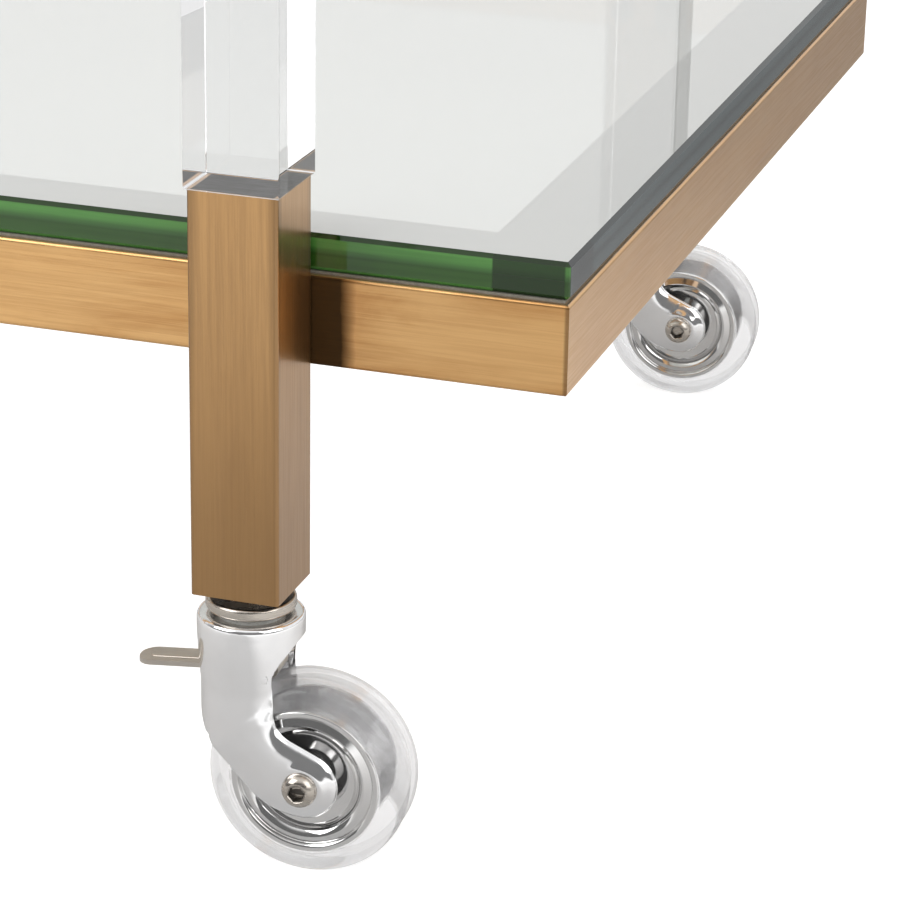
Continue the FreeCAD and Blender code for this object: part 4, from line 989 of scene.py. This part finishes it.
class TROLLEY_OT_stage(bpy.types.Operator):
    """Set up the pale floor, the white surroundings, the three soft lamps and the camera."""

    bl_idname = "trolley.stage"
    bl_label = "Stage"

    def execute(self, context):
        scene = context.scene
        stage = scene.trolley_stage
        self.lay_floor(stage)
        self.light_world(scene, stage)
        middle = (0.1, 0, 0.35)
        soft_lamp("key", (-1.9, -2.4, 2.6), middle, 2.6, stage.key_power)
        soft_lamp("fill", (2.8, -1.2, 1.9), middle, 2.2, stage.fill_power)
        soft_lamp("rim", (0.5, 1.7, 3.9), middle, 2.2, stage.rim_power)
        self.aim_camera(scene, stage)
        scene.view_settings.view_transform = "Standard"
        return {"FINISHED"}

    def lay_floor(self, stage):
        """A wide pale floor that keeps the trolley's shadow."""
        half = stage.floor_side / 2
        mesh = bpy.data.meshes.new("floor")
        mesh.from_pydata([(-half, -half, 0), (half, -half, 0), (half, half, 0), (-half, half, 0)],
                         [], [(0, 1, 2, 3)])
        floor = new_object("floor", mesh)
        made, tree, shader = material("floor_white", {
            "Roughness": 0.9, "Specular IOR Level": 0.1, "Emission Color": (1, 1, 1, 1)})
        rays = put(tree, "ShaderNodeLightPath").outputs
        mirrored = sums(tree, "SUBTRACT", self.mirrored_floor_shading(tree, stage), 1.0)
        level = sums(tree, "MULTIPLY_ADD", rays["Is Glossy Ray"], mirrored, 1.0)
        shaded = put(tree, "ShaderNodeVectorMath", {0: tuple(stage.floor), "Scale": level},
                     operation="SCALE")
        shown = sums(tree, "MAXIMUM", rays["Is Camera Ray"], rays["Is Transmission Ray"])
        glow = sums(tree, "MULTIPLY", shown, stage.floor_glow)
        feed(tree, shader, {"Base Color": shaded.outputs[0], "Emission Strength": glow})
        mesh.materials.append(made)

    def mirrored_floor_shading(self, tree, stage):
        """Painted shade and light on the floor as polished metal sees it: darker near, under and behind
        the trolley, paler past its ends; distances in metres.
        """
        place = put(tree, "ShaderNodeTexCoord").outputs["Object"]
        away = put(tree, "ShaderNodeVectorMath", {0: place}, operation="ABSOLUTE")
        high = CAD_BOX[1]
        outside = put(tree, "ShaderNodeVectorMath", {0: away.outputs[0], 1: (high.x, high.y, 0)},
                      operation="SUBTRACT")
        beyond = put(tree, "ShaderNodeVectorMath", {0: outside.outputs[0], 1: (0, 0, 0)},
                     operation="MAXIMUM")
        measured = put(tree, "ShaderNodeVectorMath", {0: beyond.outputs[0]}, operation="LENGTH")
        distance = measured.outputs["Value"]
        rise = spread(tree, distance, low=0.0, high=0.6, start=stage.near_floor, end=1.1)
        fall = spread(tree, distance, low=0.7, high=2.0, start=1.0, end=stage.far_floor)
        spot = put(tree, "ShaderNodeSeparateXYZ", {0: place}).outputs
        # Painted shade behind and under the trolley, painted light past its ends.
        behind = spread(tree, spot["Y"], low=0.1, high=0.85, start=1.0, end=0.38)
        under = spread(tree, spot["X"], low=0.1, high=0.44, start=1.06, end=0.76)
        past_end = spread(tree, spot["X"], low=0.51, high=0.62, start=1.0, end=1.55)
        beside = sums(tree, "MULTIPLY", behind, sums(tree, "MULTIPLY", under, past_end))
        return sums(tree, "MULTIPLY", sums(tree, "MULTIPLY", rise, fall), beside)

    def light_world(self, scene, stage):
        """White all round to the eye, and an even soft light on the trolley."""
        world = bpy.data.worlds.new("studio")
        scene.world = world
        world.use_nodes = True
        tree = world.node_tree
        back = tree.nodes["Background"]
        rays = put(tree, "ShaderNodeLightPath").outputs
        clear_rays = sums(tree, "MAXIMUM", rays["Is Camera Ray"], rays["Is Transmission Ray"])
        shown = sums(tree, "MAXIMUM", clear_rays, rays["Is Glossy Ray"])
        parts = parts_of(tree, "Generated")
        room = spread(tree, parts["Z"], low=0.5, high=0.9, start=stage.room, end=stage.ceiling)
        to_backdrop = spread(tree, parts["Y"], low=-0.45, high=0.25)
        further = sums(tree, "SUBTRACT", stage.backdrop, room)
        tone = sums(tree, "MULTIPLY_ADD", to_backdrop, further, room)
        mirrored = sums(tree, "MULTIPLY", rays["Is Glossy Ray"], sums(tree, "SUBTRACT", tone, 1.0))
        strength = sums(tree, "MULTIPLY", shown, sums(tree, "ADD", 1.0, mirrored))
        even = sums(tree, "MULTIPLY", sums(tree, "SUBTRACT", 1.0, shown), stage.sky)
        tree.links.new(sums(tree, "ADD", strength, even), back.inputs["Strength"])
        back.inputs["Color"].default_value = (1, 1, 1, 1)

    def aim_camera(self, scene, stage):
        """The camera at the photograph's place."""
        flat = math.cos(stage.elevation)
        behind = Vector((math.sin(stage.azimuth) * flat, -math.cos(stage.azimuth) * flat,
                         math.sin(stage.elevation)))
        right = Vector((math.cos(stage.azimuth), math.sin(stage.azimuth), 0))
        up = behind.cross(right)
        turned = right * math.cos(stage.roll) + up * math.sin(stage.roll)
        upright = behind.cross(turned)
        data = bpy.data.cameras.new("camera")
        data.lens = stage.lens
        data.sensor_width = 36
        camera = new_object("camera", data)
        facing = Matrix((turned, upright, behind)).transposed().to_4x4()
        camera.matrix_world = Matrix.Translation(Vector(stage.eye)) @ facing
        scene.camera = camera


class TROLLEY_PT_panel(bpy.types.Panel):
    """The trolley's pieces, finishes and stage."""

    bl_idname = "TROLLEY_PT_panel"
    bl_label = "Dessert Trolley"
    bl_space_type = "VIEW_3D"
    bl_region_type = "UI"
    bl_category = "Trolley"

    def draw(self, context):
        for group in GROUPS:
            box = self.layout.box()
            for key in group.__annotations__:
                box.prop(getattr(context.scene, SCENE_NAMES[group]), key)
        for operator in OPERATORS:
            self.layout.operator(operator.bl_idname)


GROUPS = (TrolleyMetal, TrolleyClear, TrolleyCaster, TrolleyStage)
SCENE_NAMES = {
    TrolleyMetal: "trolley_metal", TrolleyClear: "trolley_clear",
    TrolleyCaster: "trolley_caster", TrolleyStage: "trolley_stage"}
OPERATORS = (
    TROLLEY_OT_rails, TROLLEY_OT_sleeves, TROLLEY_OT_shelves, TROLLEY_OT_posts,
    TROLLEY_OT_casters, TROLLEY_OT_brakes, TROLLEY_OT_stage)


def register():
    """Add the trolley's properties, operators and panel."""
    for kind in GROUPS + OPERATORS + (TROLLEY_PT_panel,):
        bpy.utils.register_class(kind)
    for group, name in SCENE_NAMES.items():
        setattr(bpy.types.Scene, name, PointerProperty(type=group))


def unregister():
    """Take them away again."""
    for name in SCENE_NAMES.values():
        delattr(bpy.types.Scene, name)
    for kind in reversed(GROUPS + OPERATORS + (TROLLEY_PT_panel,)):
        bpy.utils.unregister_class(kind)


def main():
    """Dress the trolley and light it."""
    register()
    make_grain_group()
    make_cloud_group()
    make_upward_group()
    make_joint_group()
    make_corner_group()
    for operator in OPERATORS:
        section, call = operator.bl_idname.split(".")
        getattr(getattr(bpy.ops, section), call)()


if __name__ == "__main__":
    main()
